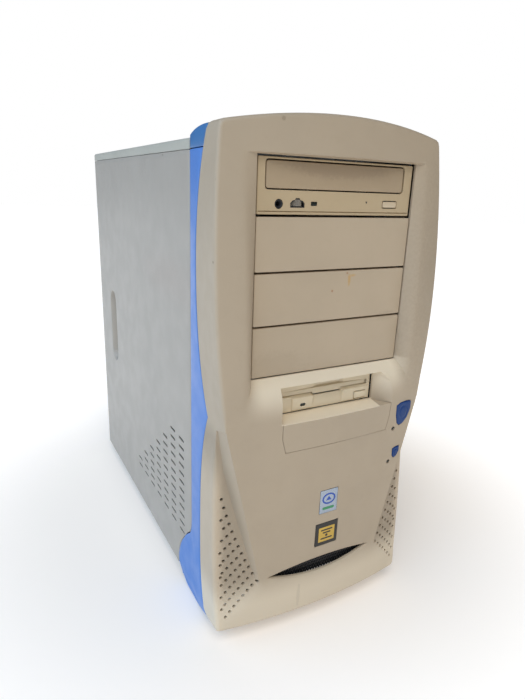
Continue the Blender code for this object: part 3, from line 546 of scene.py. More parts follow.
class Shader:
    """A small helper that builds a material's node tree."""

    def __init__(self, name, roughness, metallic=0.0, specular=0.5):
        self.material = bpy.data.materials.new(name)
        self.material.use_nodes = True
        self.main = self.material.node_tree.nodes["Principled BSDF"]
        fill(self.main, {"Metallic": metallic, "Specular IOR Level": specular, "Roughness": roughness})
        self.place = self.add("TexCoord", {}).outputs["Object"]

    def add(self, kind, values, **settings):
        return add_node(self.material.node_tree, kind, values, **settings)

    def stretched(self, scale):
        return self.add("Mapping", {"Vector": self.place, "Scale": scale}).outputs["Vector"]

    def noise(self, scale, detail=3.0, rough=0.5, vector=None):
        values = {"Vector": vector or self.place, "Scale": scale, "Detail": detail, "Roughness": rough}
        return self.add("TexNoise", values).outputs["Fac"]

    def ramp(self, value, low, high, out_low=0.0, out_high=1.0):
        """Carries a value smoothly over from one range to another."""
        values = {"Value": value, "From Min": low, "From Max": high, "To Min": out_low, "To Max": out_high}
        return self.add("MapRange", values, interpolation_type="SMOOTHSTEP").outputs["Result"]

    def math(self, kind, *values):
        return self.add("Math", dict(enumerate(values)), operation=kind).outputs[0]

    def mix(self, share, a, b):
        return self.add("Mix", {0: share, 6: a, 7: b}, data_type="RGBA").outputs[2]

    def slope(self, across, up, low, high):
        """A mask over the height and the distance from the middle, mixed by two weights; millimetres."""
        x, _, z = self.add("SeparateXYZ", {0: self.place}).outputs
        beside = self.math("MULTIPLY", self.math("ABSOLUTE", x), across)
        total = self.math("ADD", beside, self.math("MULTIPLY", z, up))
        return self.ramp(total, low * MM, high * MM)

    def spot(self, place, radius, edge, stretch=(1.0, 1.0, 1.0), uneven=0.35):
        """A mask that is 1 at a place and 0 beyond the radius, with an uneven edge; millimetres."""
        centre = tuple(v * MM for v in place)
        shift = self.add("VectorMath", {0: self.place, 1: centre}, operation="SUBTRACT")
        scaled = self.add("VectorMath", {0: shift.outputs[0], 1: stretch}, operation="MULTIPLY")
        length = self.add("VectorMath", {0: scaled.outputs[0]}, operation="LENGTH")
        wobble = self.math("MULTIPLY", self.noise(420.0, 2.0), radius * MM * uneven * 2)
        distance = self.math("ADD", length.outputs["Value"], wobble)
        start = radius * MM * (1 + uneven)
        return self.ramp(distance, start - edge * MM, start, 1.0, 0.0)

    def marked(self, value, marks):
        """A colour with marks over it, each of them (spot arguments, colour, share)."""
        for arguments, tint, share in marks:
            value = self.mix(self.math("MULTIPLY", self.spot(*arguments), share), value, tint)
        return value

    def finished(self, colour, grain, depth, roughness=None):
        """The material with its colour, and with a grain whose depth is in metres."""
        bump = self.add("Bump", {"Height": grain, "Distance": depth})
        fill(self.main, {"Base Color": colour, "Normal": bump.outputs["Normal"]})
        if roughness:
            fill(self.main, {"Roughness": roughness})
        return self.material


def linear(red, green, blue):
    """A colour given as 0 to 255 values, made linear."""
    return tuple(((v / 255 + 0.055) / 1.055) ** 2.4 if v > 10.31 else v / 255 / 12.92
                 for v in (red, green, blue))


def darker(colour, factor):
    return tuple(v * factor for v in colour)


def plastic(name, colour, roughness=0.5, mottle=0.05, grain=0.00003, marks=(), light_fades=()):
    """Moulded plastic with fine grain, cloudy dirt and dust. A fade is (slopes that are multiplied,
    colour, share) and paints light or shade over a region; a mark is (spot arguments, colour, share)."""
    s = Shader(name, roughness, specular=0.4)
    cloud = s.ramp(s.noise(14.0, 4.0, 0.6), 0.35, 0.7)
    value = s.mix(cloud, colour, darker(colour, 1 - mottle))
    dust = s.ramp(s.noise(95.0, 5.0, 0.7), 0.52, 0.75, 0.0, 0.35)
    value = s.mix(dust, value, tuple(v * (1 - loss * mottle) for v, loss in zip(colour, (1.6, 1.8, 2.2))))
    for slopes, tint, share in light_fades:
        mask = share
        for slope in slopes:
            mask = s.math("MULTIPLY", s.slope(*slope), mask)
        value = s.mix(mask, value, tint)
    worn = s.ramp(s.noise(60.0, 3.0), 0.3, 0.7, roughness - 0.06, roughness + 0.06)
    return s.finished(s.marked(value, marks), s.noise(1500.0, 2.0, 0.6), grain, worn)


def steel_paint(name, colour, marks):
    """Painted sheet with upright streaks and given marks."""
    s = Shader(name, 0.42, specular=0.45)
    value = s.mix(s.ramp(s.noise(7.0, 3.0), 0.3, 0.7), colour, darker(colour, 0.95))
    streak = s.ramp(s.noise(30.0, 4.0, 0.6, s.stretched((1.0, 0.6, 0.12))), 0.55, 0.8, 0.0, 0.3)
    value = s.marked(s.mix(streak, value, darker(colour, 0.9)), marks)
    return s.finished(value, s.noise(1100.0, 2.0, 0.5), 0.00002,
                      s.ramp(s.noise(40.0, 3.0), 0.3, 0.7, 0.38, 0.5))


def bare_metal(name, colour, roughness=0.32, stretch=(1.0, 1.0, 0.08)):
    """Zinc-plated or milled metal, brushed along the axis with the small number."""
    s = Shader(name, roughness, 0.85)
    brushed = s.noise(700.0, 3.0, 0.6, s.stretched(stretch))
    patch = s.ramp(s.noise(22.0, 4.0, 0.6), 0.35, 0.7)
    value = s.mix(patch, colour, darker(colour, 0.82))
    value = s.mix(s.ramp(brushed, 0.4, 0.6, 0.0, 0.4), value, darker(colour, 0.9))
    return s.finished(value, brushed, 0.00001, s.ramp(patch, 0.0, 1.0, roughness - 0.06, roughness + 0.12))


def rubber(name, colour, roughness=0.75):
    s = Shader(name, roughness, specular=0.3)
    value = s.mix(s.ramp(s.noise(120.0, 4.0), 0.45, 0.75, 0.0, 0.5), colour, darker(colour, 1.7))
    return s.finished(value, s.noise(2200.0, 2.0), 0.00003)


PORTS_FROM = 196.0


def board_material(name, colour):
    """Circuit board: solder mask with tracks and pads, and grey metal at the rear sockets."""
    s = Shader(name, 0.35)
    tracks = s.add("TexBrick", {"Vector": s.place, "Scale": 160.0, "Mortar Size": 0.03})
    pads = s.add("TexVoronoi", {"Vector": s.place, "Scale": 420.0})
    value = s.mix(s.ramp(s.noise(300.0, 2.0), 0.45, 0.55), colour, darker(colour, 1.5))
    value = s.mix(s.math("MULTIPLY", tracks.outputs["Fac"], 0.5), value, darker(colour, 2.2))
    value = s.mix(s.ramp(pads.outputs["Distance"], 0.16, 0.12, 0.0, 0.8), value, (0.55, 0.52, 0.42))
    depth = s.add("SeparateXYZ", {0: s.place}).outputs["Y"]
    bracket = s.ramp(depth, PORTS_FROM * MM, (PORTS_FROM + 0.5) * MM)
    value = s.mix(bracket, value, s.mix(s.noise(60.0, 3.0), (0.30, 0.31, 0.32), (0.42, 0.43, 0.44)))
    return s.finished(value, s.noise(500.0, 2.0), 0.00005)


FRONT = (0.45, 0.36, 0.255)
SIDE_PAINT = (0.395, 0.355, 0.30)
RUST = linear(150, 84, 28)
YELLOW = linear(190, 150, 88)
GRIME = linear(112, 96, 76)
BLUE = (0.092, 0.228, 0.57)
PALE = (0.80, 0.69, 0.52)

FRONT_STAINS_AND_SHADE = [
    (((-107.0, -201.0, 407.0), 1.6, 0.9, (1.0, 1.4, 0.3)), GRIME, 0.65),
    (((-108.0, -203.0, 348.5), 1.8, 1.0, (1.0, 0.8, 1.3)), GRIME, 0.6),
    (((-56.3, -205.0, 447.3), 2.0, 1.0), GRIME, 0.35),
    (((78.0, -203.0, 264.0), 1.8, 0.9), RUST, 0.9),
    (((-49.0, -204.0, 217.0), 3.0, 2.0, (1.0, 0.4, 1.0)), RUST, 0.45),
    # Painted shade: the right-hand side of the front is painted darker, where it turns away from the light.
    (((105.0, -205.0, 330.0), 45.0, 45.0, (1.0, 0.3, 0.3)), darker(FRONT, 0.6), 0.4),
    (((-24.0, -214.0, 36.0), 5.0, 0.8, (2.6, 0.4, 0.35)), GRIME, 0.12),
]
# Painted light and shade on the moulded front, each a region laid in a lighter or darker colour.
FRONT_LIGHT_FADES = [
    # Painted shade: the recessed corner facets beyond the ridge are painted darker.
    ([(0.977, -0.223, 49.6, 54.0), (0.685, 0.728, 84.6, 99.6)], darker(FRONT, 0.4), 0.34),
    # Painted highlight: the lit side edge beside the lower facets is painted lighter.
    ([(1.0, 0.0, 94.0, 101.5), (0.0, -1.0, -200.0, -150.0)], darker(FRONT, 1.4), 0.6),
    # Painted light: the lowest part of the front is painted paler, as light thrown up from the floor.
    ([(0.0, -1.0, -72.0, -38.0)], PALE, 0.62),
    # Painted highlight: the upward-facing chin under the bay covers and the face round the floppy bay are
    # painted pale.
    ([(0.0, 1.0, 218.0, 249.0), (-1.0, 0.0, -86.0, -66.0), (0.0, -1.0, -258.0, -255.0)], PALE, 0.9),
    # Painted highlight: the upward-facing sill above the blank insert is painted pale.
    ([(0.0, 1.0, 214.9, 215.3), (-1.0, 0.0, -52.0, -51.0), (0.0, -1.0, -219.0, -218.0)], PALE, 0.9),
]
COVER_MARKS = [
    (((15.0, -202.0, 330.0), 3.0, 2.2, (1.5, 1.0, 0.42)), YELLOW, 0.75),
    (((18.5, -202.0, 333.5), 2.2, 1.6, (0.5, 1.0, 1.5)), YELLOW, 0.6),
    (((12.5, -202.0, 335.5), 1.3, 0.9), RUST, 0.55),
    (((-1.5, -202.0, 321.3), 1.4, 0.9), RUST, 0.6),
    (((-55.0, -202.0, 262.0), 18.0, 12.0, (0.4, 1.0, 1.0)), GRIME, 0.12),
    (((60.0, -202.0, 296.0), 10.0, 8.0, (0.6, 1.0, 1.6)), GRIME, 0.14),
]
BEZEL = plastic("bezel_plastic", FRONT, marks=FRONT_STAINS_AND_SHADE, light_fades=FRONT_LIGHT_FADES)
COVERS = plastic("bay_cover_plastic", (0.485, 0.385, 0.268), marks=COVER_MARKS)
DRIVE = plastic("drive_plastic", (0.49, 0.375, 0.228), 0.48, 0.06)
# The upper band of the tray door is painted darker: a painted shadow cast by the overhang above the drive.
TRAY = plastic("tray_plastic", (0.42, 0.315, 0.20), 0.5, 0.10, marks=[
    (((0.0, -200.0, 417.0), 60.0, 30.0, (1.0, 1.0, 6.0)), (0.31, 0.225, 0.145), 0.5)])
FLOPPY = plastic("floppy_plastic", (0.74, 0.63, 0.45), 0.48)
# Painted shade: the blue trim is painted darker and a deeper blue towards its foot.
BLUE_PLASTIC = plastic("blue_trim_plastic", BLUE, 0.38, 0.06, grain=0.00001, light_fades=[
    ([(0.0, -1.0, -120.0, -50.0)], (0.03, 0.185, 0.55), 0.8)])
BLUE_CAP = plastic("blue_cap_plastic", (0.047, 0.168, 0.38), 0.38, 0.06, grain=0.00001)
BUTTON_LIGHT = plastic("eject_key_plastic", (0.60, 0.48, 0.33), 0.42, 0.04)
WHEEL = plastic("dial_plastic", linear(128, 120, 108), 0.5, 0.1)
BUTTON = plastic("blue_button_plastic", (0.003, 0.038, 0.165), 0.45, grain=0.00001)
BLACK = plastic("black_plastic", (0.018, 0.018, 0.02), 0.45, 0.2, grain=0.00002)
# A near-black finish that stands for the darkness deep in a hole: painted shade.
SHADE_BLACK = plastic("painted_shade_black", (0.004, 0.004, 0.0045), 0.9, 0.1)
PAINT = steel_paint("panel_paint", SIDE_PAINT, [
    (((-100.0, -72.0, 425.0), 1.6, 1.0), GRIME, 0.7),
    (((-101.0, 60.0, 431.0), 1.6, 1.0), GRIME, 0.6),
    (((-101.0, -80.0, 318.0), 30.0, 26.0, (1.0, 0.25, 1.0)), (0.36, 0.29, 0.24), 0.3)])
TOP_PAINT = steel_paint("top_paint", (0.47, 0.45, 0.375), [
    (((-60.0, -20.0, 436.0), 2.5, 1.5, (1.0, 0.6, 1.0)), GRIME, 0.5),
    (((10.0, 90.0, 436.0), 16.0, 12.0, (1.0, 0.4, 1.0)), GRIME, 0.12)])
ZINC = bare_metal("zinc_sheet", (0.56, 0.57, 0.58))
SILVER = bare_metal("milled_aluminium", (0.72, 0.72, 0.73), 0.28, (1.0, 0.08, 1.0))
GREEN = board_material("circuit_board", (0.02, 0.13, 0.05))
RUBBER = rubber("foot_rubber", (0.02, 0.02, 0.02))
RED = plastic("red_slider", (0.5, 0.03, 0.02), 0.4, 0.1)
LENS = plastic("lens_plastic", (0.012, 0.016, 0.012), 0.15, 0.1, grain=0.000004)
WIRES = rubber("wire_sleeve", (0.05, 0.045, 0.02), 0.6)
GOLD = bare_metal("gold_foil", (0.62, 0.42, 0.10), 0.3, (1.0, 1.0, 1.0))
FOIL = bare_metal("silver_foil", (0.36, 0.41, 0.48), 0.3, (1.0, 1.0, 1.0))
INK_BLUE = plastic("blue_ink", linear(40, 80, 170), 0.35)
INK_GREEN = plastic("green_ink", linear(60, 140, 90), 0.35)
INK_BLACK = plastic("black_ink", (0.02, 0.018, 0.015), 0.35)


# ---------------------------------------------------------------- moulded front
AIR_HOLE = 1.55
AIR_HOLE_MARGIN = 1.95
LIGHT_HOLE = 2.2


def front_outline():
    """Outline of the front seen from ahead, counter-clockwise in X and Z."""
    top = 440.0
    for _ in range(21):
        top = arch_z(half_width(top))
    side = [BEZEL_BOTTOM + (CUSP_Z - BEZEL_BOTTOM) * i / 44 for i in range(44)]
    side += [CUSP_Z + (top - CUSP_Z) * i / 50 for i in range(50)]
    right = [(half_width(z), z) for z in side]
    corner, base = half_width(top), half_width(BEZEL_BOTTOM)
    arch = [(corner * (1 - 2 * i / 52), arch_z(corner * (1 - 2 * i / 52))) for i in range(53)]
    left = [(-x, z) for x, z in reversed(right)]
    bottom = [(-base + 2 * base * i / 44, BEZEL_BOTTOM) for i in range(1, 44)]
    return soften(right + arch + left + bottom,
                  [(base, BEZEL_BOTTOM), (corner, top), (-corner, top), (-base, BEZEL_BOTTOM)])


def soften(loop, turns):
    """Rounds a dense outline at its four corners."""
    count = len(loop)
    for turn in turns:
        near = [i for i, p in enumerate(loop) if (Vector(p) - Vector(turn)).length < CORNER_CUT]
        start = next(i for i in near if (i - 1) % count not in near)
        run = [(start + k) % count for k in range(len(near))]
        before, after = Vector(loop[(run[0] - 1) % count]), Vector(loop[(run[-1] + 1) % count])
        for k, i in enumerate(run):
            loop[i] = bend(before, Vector(turn), after, (k + 1) / (len(run) + 1))
    return [p for i, p in enumerate(loop) if (Vector(p) - Vector(loop[i - 1])).length > 0.3]


POWER_OUTLINE = [(74.0, 211.0), (78.5, 213.2), (86.0, 213.8), (91.7, 213.2), (91.4, 206.0),
                 (88.0, 197.0), (83.0, 191.0), (79.5, 190.0), (76.5, 193.0), (74.5, 201.0)]
RESET_OUTLINE = [(75.0, 166.0), (77.5, 167.2), (83.5, 167.7), (83.0, 163.0), (80.0, 157.0),
                 (77.5, 156.0), (75.5, 159.0)]
LED_PLACES = {"power_led": (72.5, 187.8), "drive_led": (71.3, 153.3)}
HOLE_ROWS = (12, 10, 8, 7, 6, 5, 3, 2)


def air_holes():
    """Middles of the air holes in the right facet: bent rows along the ridge, shorter away from it."""
    centres = []
    for j, count in enumerate(HOLE_ROWS):
        for i in range(count):
            x = 66.36 + 3.697 * i + 4.363 * j - 0.082 * i * i + 0.043 * i * j - 0.037 * j * j
            z = 64.42 + 7.162 * i - 4.103 * j + 0.051 * i * i + 0.098 * i * j - 0.052 * j * j
            centres.append((min(x, half_width(z) - edge_round(z) - AIR_HOLE_MARGIN), z))
    return centres


def edge_round(z):
    """Radius between the face and the side wall, tighter beside the facets."""
    return 0.9 + max(3.3 * smooth_step((205 - z) / 40), 2.1 * smooth_step((z - 216) / 22))


def crease_points():
    """Where the sides of the bay recess meet the slope under it."""
    points = []
    for i in range(1, 14):
        x = BAY_HALF + 0.6 + (RECESS_RAMP - 1.0) * i / 14
        side = clamp(1 - (x - BAY_REACH) / RECESS_RAMP) ** RECESS_CURVE
        points.append((x, CHIN_LOW + (BAY_FOOT - CHIN_LOW) * side ** (1 / CHIN_CURVE)))
    return points


def ridge_points(shift):
    """The ridge of the right facet, moved over the ramp beside it by a share of its width."""
    a, b = Vector(RIDGE[0]), Vector(RIDGE[1])
    along = (b - a).normalized()
    points = []
    for i in range(50):
        p = a.lerp(b + along, i / 49)
        p += Vector((-along.y, along.x)) * shift * facet_ramp(p.y)
        if p.x < half_width(p.y) - edge_round(p.y) - 0.4:
            points.append((p.x, p.y))
    return points


def front_holes():
    """The bays, the buttons, the lights, the smile and the air holes."""
    low_x, low_z, high_x, high_z = FLOPPY_INNER
    bay = resample(rectangle((-BAY_REACH, BAY_FOOT), (BAY_REACH, BAY_TOP + 0.4)), 5)
    floppy = [(-50.45, 215.9), (low_x, low_z), (low_x, high_z), (high_x, high_z), (high_x, low_z),
              (66.1, 215.8), (65.45, 202.9), (62.4, 188.95), (0.0, 188.75), (-46.8, 188.95),
              (-50.45, 202.9)]
    holes = [bay, floppy] + [resample(grow(counter_clockwise(loop), GAP), 2)
                             for loop in (POWER_OUTLINE, RESET_OUTLINE)]
    holes.append(smile_outline(0.0))
    holes += [circle(p, LIGHT_HOLE, 14) for p in LED_PLACES.values()]
    for x, z in air_holes():
        holes += [circle((x, z), AIR_HOLE, 10), circle((-x, z), AIR_HOLE, 10)]
    return holes


def front_creases():
    """Lines where the face bends sharply, so that its mesh follows them."""
    creases = [open_crease([(-86.5, BAY_TOP + rise), (86.5, BAY_TOP + rise)], 4) for rise in (1.3, 0.6)]
    floppy_rim = [p for p in FLOPPY_OUTER if p[1] > 216.2 and p[1] != 217.2] + [(66.3, 216.0)]
    creases.append((resample(floppy_rim, 3, False)[:-1], False))
    creases.append(open_crease([(-51.7, 246.0), (-51.7, 216.6)], 3))
    creases += [(smile_outline(0.9), True), (smile_outline(2.1), True)]
    heights = [BAY_FOOT + (BAY_TOP + 0.6 - BAY_FOOT) * i / 30 for i in range(1, 31)]
    right = [[(BAY_REACH + RECESS_RAMP * step / 5, z) for z in heights] for step in range(1, 6)]
    right += [crease_points()] + [ridge_points(shift) for shift in (0.0, 0.5, 1.0)]
    for sign in (-1, 1):
        creases += [([(sign * x, z) for x, z in line], False) for line in right]
    for low, high in BADGES.values():
        for amount in (0.25, 0.45):
            creases.append((resample(rectangle((low[0] - amount, low[2] - amount),
                                               (high[0] + amount, high[2] + amount)), 4), True))
    return creases


def make_front():
    """The moulded face, its side walls and a hollow back."""
    outer = front_outline()
    normals = []
    for before, _, after in with_neighbours(outer):
        along = after - before
        normals.append(Vector((along.y, -along.x)).normalized())
    inset = [tuple(Vector(p) - n * edge_round(p[1])) for p, n in zip(outer, normals)]

    def skirt(i):
        (x, z), normal = outer[i], normals[i]
        depth = front_y(*inset[i])
        radius = edge_round(z)
        points = []
        for k in range(1, 6):
            a = math.pi / 2 * k / 5
            spot = Vector(inset[i]) + normal * radius * math.sin(a)
            points.append((spot.x, depth + radius * (1 - math.cos(a)), spot.y))
        slope = BOTTOM_SLOPE * (1 - clamp((z - BEZEL_BOTTOM) / 9.0))
        front, rear = depth + radius, side_edge_y(z - slope)
        for k in range(1, 7):
            t = k / 6
            y = front + (rear - front) * t
            points.append(Vector((x * side_x(y, z) / half_width(z), y, z - slope * t)))
        inward = Vector((normal.x, 0.0, normal.y)) * WALL
        return points + [points[-1] - inward, (x - inward.x, front, z - inward.z)]

    def place(x, z, layer):
        return (x, front_y(x, z) + layer * WALL, z)
    bezel = relief("front_moulding", inset, front_holes(), place, 4.0, BEZEL, front_creases(), skirt, 28.0,
                   [FLOPPY_OUTER])
    set_in(bezel, "root", "beige_plastic", "front_bezel")


make_front()


# ---------------------------------------------------------------- blue trim

FOOT_OUTLINE = [(-158.0, 4.3), (-151.0, 2.2), (-145.0, 0.8), (-142.0, 0.0), (-119.0, 0.0),
                (-115.5, 1.8), (-112.0, 5.0), (-108.5, 8.2), (-105.5, 12.0), (-103.4, 16.0),
                (-102.2, 20.0), (-101.4, 24.5), (-101.4, 29.0), (-102.4, 33.8), (-104.2, 38.5),
                (-106.5, 43.8), (-109.3, 48.8), (-112.2, 53.2), (-115.5, 57.0), (-121.0, 64.0),
                (-127.4, 70.2), (-129.4, 71.9), (PANEL_FRONT + 4.1, 75.4), (PANEL_FRONT + 1.5, 80.2),
                (PANEL_FRONT + 0.1, 86.0), (PANEL_FRONT - GAP, 93.0)]
TRIM_GAP = 0.45
CAP_DROP = 0.9


def make_trim(side):
    """Blue strip between the front and a side panel, with the front foot at its lower end."""
    word = "left" if side < 0 else "right"
    top = SEAM_Z - GAP
    heights = [top - (top - 11.0) * i / 110 for i in range(111)]
    front = [(side_edge_y(z) + TRIM_GAP, z) for z in heights]
    rear = [(PANEL_FRONT - GAP, z) for z in reversed(heights) if z > 94.0]
    loop = counter_clockwise(resample(front + FOOT_OUTLINE + rear, 6.0))
    radius = 0.7
    inset = grow(loop, -radius)

    def outer(y, z):
        x = side_x(y, max(z, 20.0)) - 0.15 * max(0.0, 20.0 - z)
        return x + 0.5 * math.sin(math.pi * clamp((y + 176) / 38)) * smooth_step((z - 20) / 30)

    def inner(z):
        return CASE_HALF - (0.9 if z > 6 else 10.0)

    def skirt(i):
        points = [(side * (outer(y, z) - drop), y, z)
                  for y, z, drop in rounding(inset[i], loop[i], radius, 3)]
        return points + [(side * inner(loop[i][1]), *loop[i])]

    def place(y, z, layer):
        return (side * (inner(z) if layer else outer(y, z)), y, z)
    trim = relief("blue_trim_" + word, inset, [], place, 4.0, BLUE_PLASTIC, (), skirt, 30.0)
    set_in(trim, "root", "blue_plastic", "trim_" + word)


def make_cap():
    """Blue cap that rises from the steel top to the arch."""
    def plan(u, v):
        x = 101.5 * (2 * u - 1)
        high = arch_z(x) - CAP_DROP
        front = side_edge_y(high + CAP_DROP) + TRIM_GAP
        return high, PANEL_FRONT - GAP + (front - PANEL_FRONT + GAP) * v

    def upper(u, v):
        high, y = plan(u, v)
        low = CASE_TOP - 0.4
        z = low + (high - low) * (0.26 + 0.74 * (1 - (1 - v) ** 2.6))
        return ((2 * u - 1) * (side_x(y, z) - 0.1), y, z)

    def lower(u, v):
        y = plan(u, v)[1]
        return ((2 * u - 1) * (side_x(y, SEAM_Z) - 0.1), y, SEAM_Z + 0.35)
    cap = grid_solid("blue_cap", 60, 14, upper, lower, BLUE_CAP, 0.8, 30.0)
    set_in(cap, "root", "blue_plastic", "top_trim")


make_trim(-1)
make_trim(1)
make_cap()


# ---------------------------------------------------------------- steel panels

SLOT_COUNTS = (12, 12, 10, 8, 6, 4, 2)
RECESS_CENTRE = (144.0, 217.0)
RECESS_HALF = (15.0, 48.0)
RECESS_DEPTH = 8.8


def panel_outline():
    """A side panel seen from the left, cut away round the front foot."""
    return [(PANEL_FRONT, 93.0), (PANEL_FRONT + 0.5, 86.2), (PANEL_FRONT + 1.9, 80.8),
            (PANEL_FRONT + 4.4, 76.2), (-128.8, 72.6), (-127.0, 70.8), (-115.2, 57.5), (-109.0, 49.2),
            (-103.8, 38.7), (-101.0, 29.0), (-101.0, PANEL_BOTTOM), (CASE_REAR + 1.5, PANEL_BOTTOM),
            (CASE_REAR + 1.5, SEAM_Z - GAP), (PANEL_FRONT, SEAM_Z - GAP)]


def recess_depth(y, z):
    """Depth of the finger recess: a long dished pocket with round ends."""
    across = abs(y - RECESS_CENTRE[0])
    along = max(0.0, abs(z - RECESS_CENTRE[1]) - (RECESS_HALF[1] - RECESS_HALF[0]))
    inside = RECESS_HALF[0] - math.hypot(across, along)
    return RECESS_DEPTH * smooth_step(inside / 6.5) + 0.5 * smooth_step((inside + 1.5) / 3.0)


def make_panel(side):
    """A side panel with air slots and a folded rear edge; only the left one has the recess."""
    word = "left" if side < 0 else "right"
    holes = [rounded((-112.0 + 24.5 * column, 64.0 + 9.3 * row), (7.0, 1.35), 1.34, 3)
             for column, count in enumerate(SLOT_COUNTS) for row in range(count)]
    loop = counter_clockwise(resample(round_corners(panel_outline(), 2.0, 3), 12.0))
    radius = 0.5
    inset = grow(loop, -radius)

    def skirt(i):
        points = [(side * (PANEL_HALF - drop), y, z)
                  for y, z, drop in rounding(inset[i], loop[i], radius, 2)]
        return points + [(side * (PANEL_HALF - SHEET), *loop[i])]

    def place(y, z, layer):
        deep = recess_depth(y, z) if side < 0 else 0.0
        return (side * (PANEL_HALF - SHEET * layer - deep), y, z)
    creases = []
    if side < 0:
        for shrink in (-2.5, -1.0, 0.5, 2.0, 3.5, 5.0, 6.5):
            half = (RECESS_HALF[0] - shrink, RECESS_HALF[1] - shrink)
            creases.append((rounded(RECESS_CENTRE, half, half[0] - 0.05, 8), True))
    sheet = relief("panel_sheet_" + word, inset, holes, place, 9.0, PAINT, creases, skirt, 30.0)
    low, high = sorted((side * 84, side * (CASE_HALF + 0.2)))
    flange = block("panel_flange_" + word, (low, CASE_REAR + 0.3, 40), (high, CASE_REAR + 1.5, 410), 0.3,
                   PAINT)
    panel = joined("steel_panel_" + word, [sheet, flange])
    set_in(panel, "side_panel_" + word, "painted_steel", "side_panel_" + word)


def make_top():
    """The steel top: a sheet bent down at both sides, with a fold under its rear edge."""
    radius = 3.0
    half = PANEL_HALF
    arc = [(half - radius + radius * math.cos(a), CASE_TOP - radius + radius * math.sin(a))
           for a in [math.pi / 2 * k / 8 for k in range(9)]]
    right = [(half, SEAM_Z)] + arc
    flat = [(half - radius - (2 * half - 2 * radius) * i / 20, CASE_TOP) for i in range(1, 20)]
    profile = right + flat + [(-x, z) for x, z in reversed(right)]
    count = len(profile) - 1

    def outside(u, v):
        x, z = profile[round(u * count)]
        return (x, TOP_LOW[1] + (TOP_HIGH[1] - TOP_LOW[1]) * v, z)

    def within(u, v):
        x, y, z = outside(u, v)
        return (x * (half - SHEET) / half, y, SEAM_Z if z == SEAM_Z else z - SHEET)
    sheet = grid_solid("top_sheet", count, 24, outside, within, TOP_PAINT)
    fold = block("top_fold", (1.6 - half, TOP_HIGH[1] - 2.2, SEAM_Z + 0.2),
                 (half - 1.6, TOP_HIGH[1] - 1.0, CASE_TOP - 0.6), 0.4, TOP_PAINT)
    set_in(joined("steel_top", [sheet, fold]), "root", "painted_steel", "top_cover")


make_panel(-1)
make_panel(1)
make_top()


# ---------------------------------------------------------------- drive fronts

def make_covers():
    """The three blank covers of the large bays, slightly bowed."""
    for index in ("1", "2", "3"):
        low, high = corners("bay_cover_" + index)
        middle, half = middle_and_half(low, high, 0.5, 0.5)

        def front(x, z):
            return low[1] - 0.25 * (1 - ((x - middle[0]) / half[0]) ** 2)
        cover = moulding("blank_cover_" + index, resample(rounded(middle, half, 1.2, 3), 6), front, high[1],
                         0.6, 12.0, COVERS)
        set_in(cover, "root", "beige_plastic", "bay_cover_" + index)


INSERT_OUTLINE = [(-50.6, 217.3), (-50.0, 215.4), (-50.0, 203.0), (-46.5, 189.4), (0.0, 189.2),
                  (62.0, 189.4), (65.0, 203.0), (65.6, 215.5), (50.6, 217.3)]
LIP_Z = 215.4


def make_insert():
    """Blank insert under the floppy drive, with the sloped lip above it."""
    def front(x, z):
        if z <= LIP_Z:
            return face_y(x, z)
        share = clamp((z - LIP_Z) / 1.6)
        reach = 1.0 if x < 50.6 else clamp((66.0 - x) / 15.4)
        return face_y(x, z) + (RIM_Y - 0.5 - face_y(x, z)) * share * reach

    def place(x, z, layer):
        return (x, -199.0 if layer else front(x, z), z)
    insert = relief("blank_insert", resample(counter_clockwise(INSERT_OUTLINE), 5.0), [], place, 5.0, BEZEL,
                    [open_crease([(-49.6, LIP_Z), (65.2, LIP_Z)], 5.0)], None, 30.0)
    set_in(insert, "root", "beige_plastic", "floppy_bay_blank")


DOOR_MIDDLE = (-1.1, 410.0)
EJECT_MIDDLE = (51.6, 390.5)
SOCKET_MIDDLE = (-54.8, 389.3)
LENS_MIDDLE = (-23.6, 389.9)
DISC_MIDDLE = (-1.1, -128.0)
WHEEL_MIDDLE = (-38.5, -195.6)
WHEEL_WINDOW = [(-44.9, 386.8), (-32.1, 386.8), (-32.1, 390.2), (-34.0, 392.0), (-36.0, 392.4),
                (-36.8, 393.8), (-40.2, 393.8), (-41.0, 392.4), (-43.0, 392.0), (-44.9, 390.2)]
FOLD_Z = 383.9
LEAF_LOW = 404.4
LEAF_TOP = 410.0


def make_optical_front():
    y = OPTICAL_LOW[1]
    middle, half = middle_and_half(OPTICAL_LOW, OPTICAL_HIGH, 1.2, 0.6)
    door = resample(rounded(DOOR_MIDDLE, (66.1, 10.7), 2.8, 4), 6)
    holes = [door, rounded(EJECT_MIDDLE, (7.9, 3.1), 1.2, 3), circle(SOCKET_MIDDLE, 3.7, 20), WHEEL_WINDOW,
             rounded(LENS_MIDDLE, (2.9, 1.6), 0.5, 2)]

    def front(x, z):
        return y + 1.3 * clamp(1 - abs(z - FOLD_Z) / 0.55)
    folds = [open_crease([(-72.0, z), (72.0, z)], 6) for z in (FOLD_Z - 0.5, FOLD_Z, FOLD_Z + 0.5)]
    face = moulding("optical_front", resample(rounded(middle, half, 1.0, 3), 6), front, OPTICAL_HIGH[1],
                    0.5, 6.0, DRIVE, holes, folds)
    set_in(face, "root", "drive_plastic", "optical_faceplate")


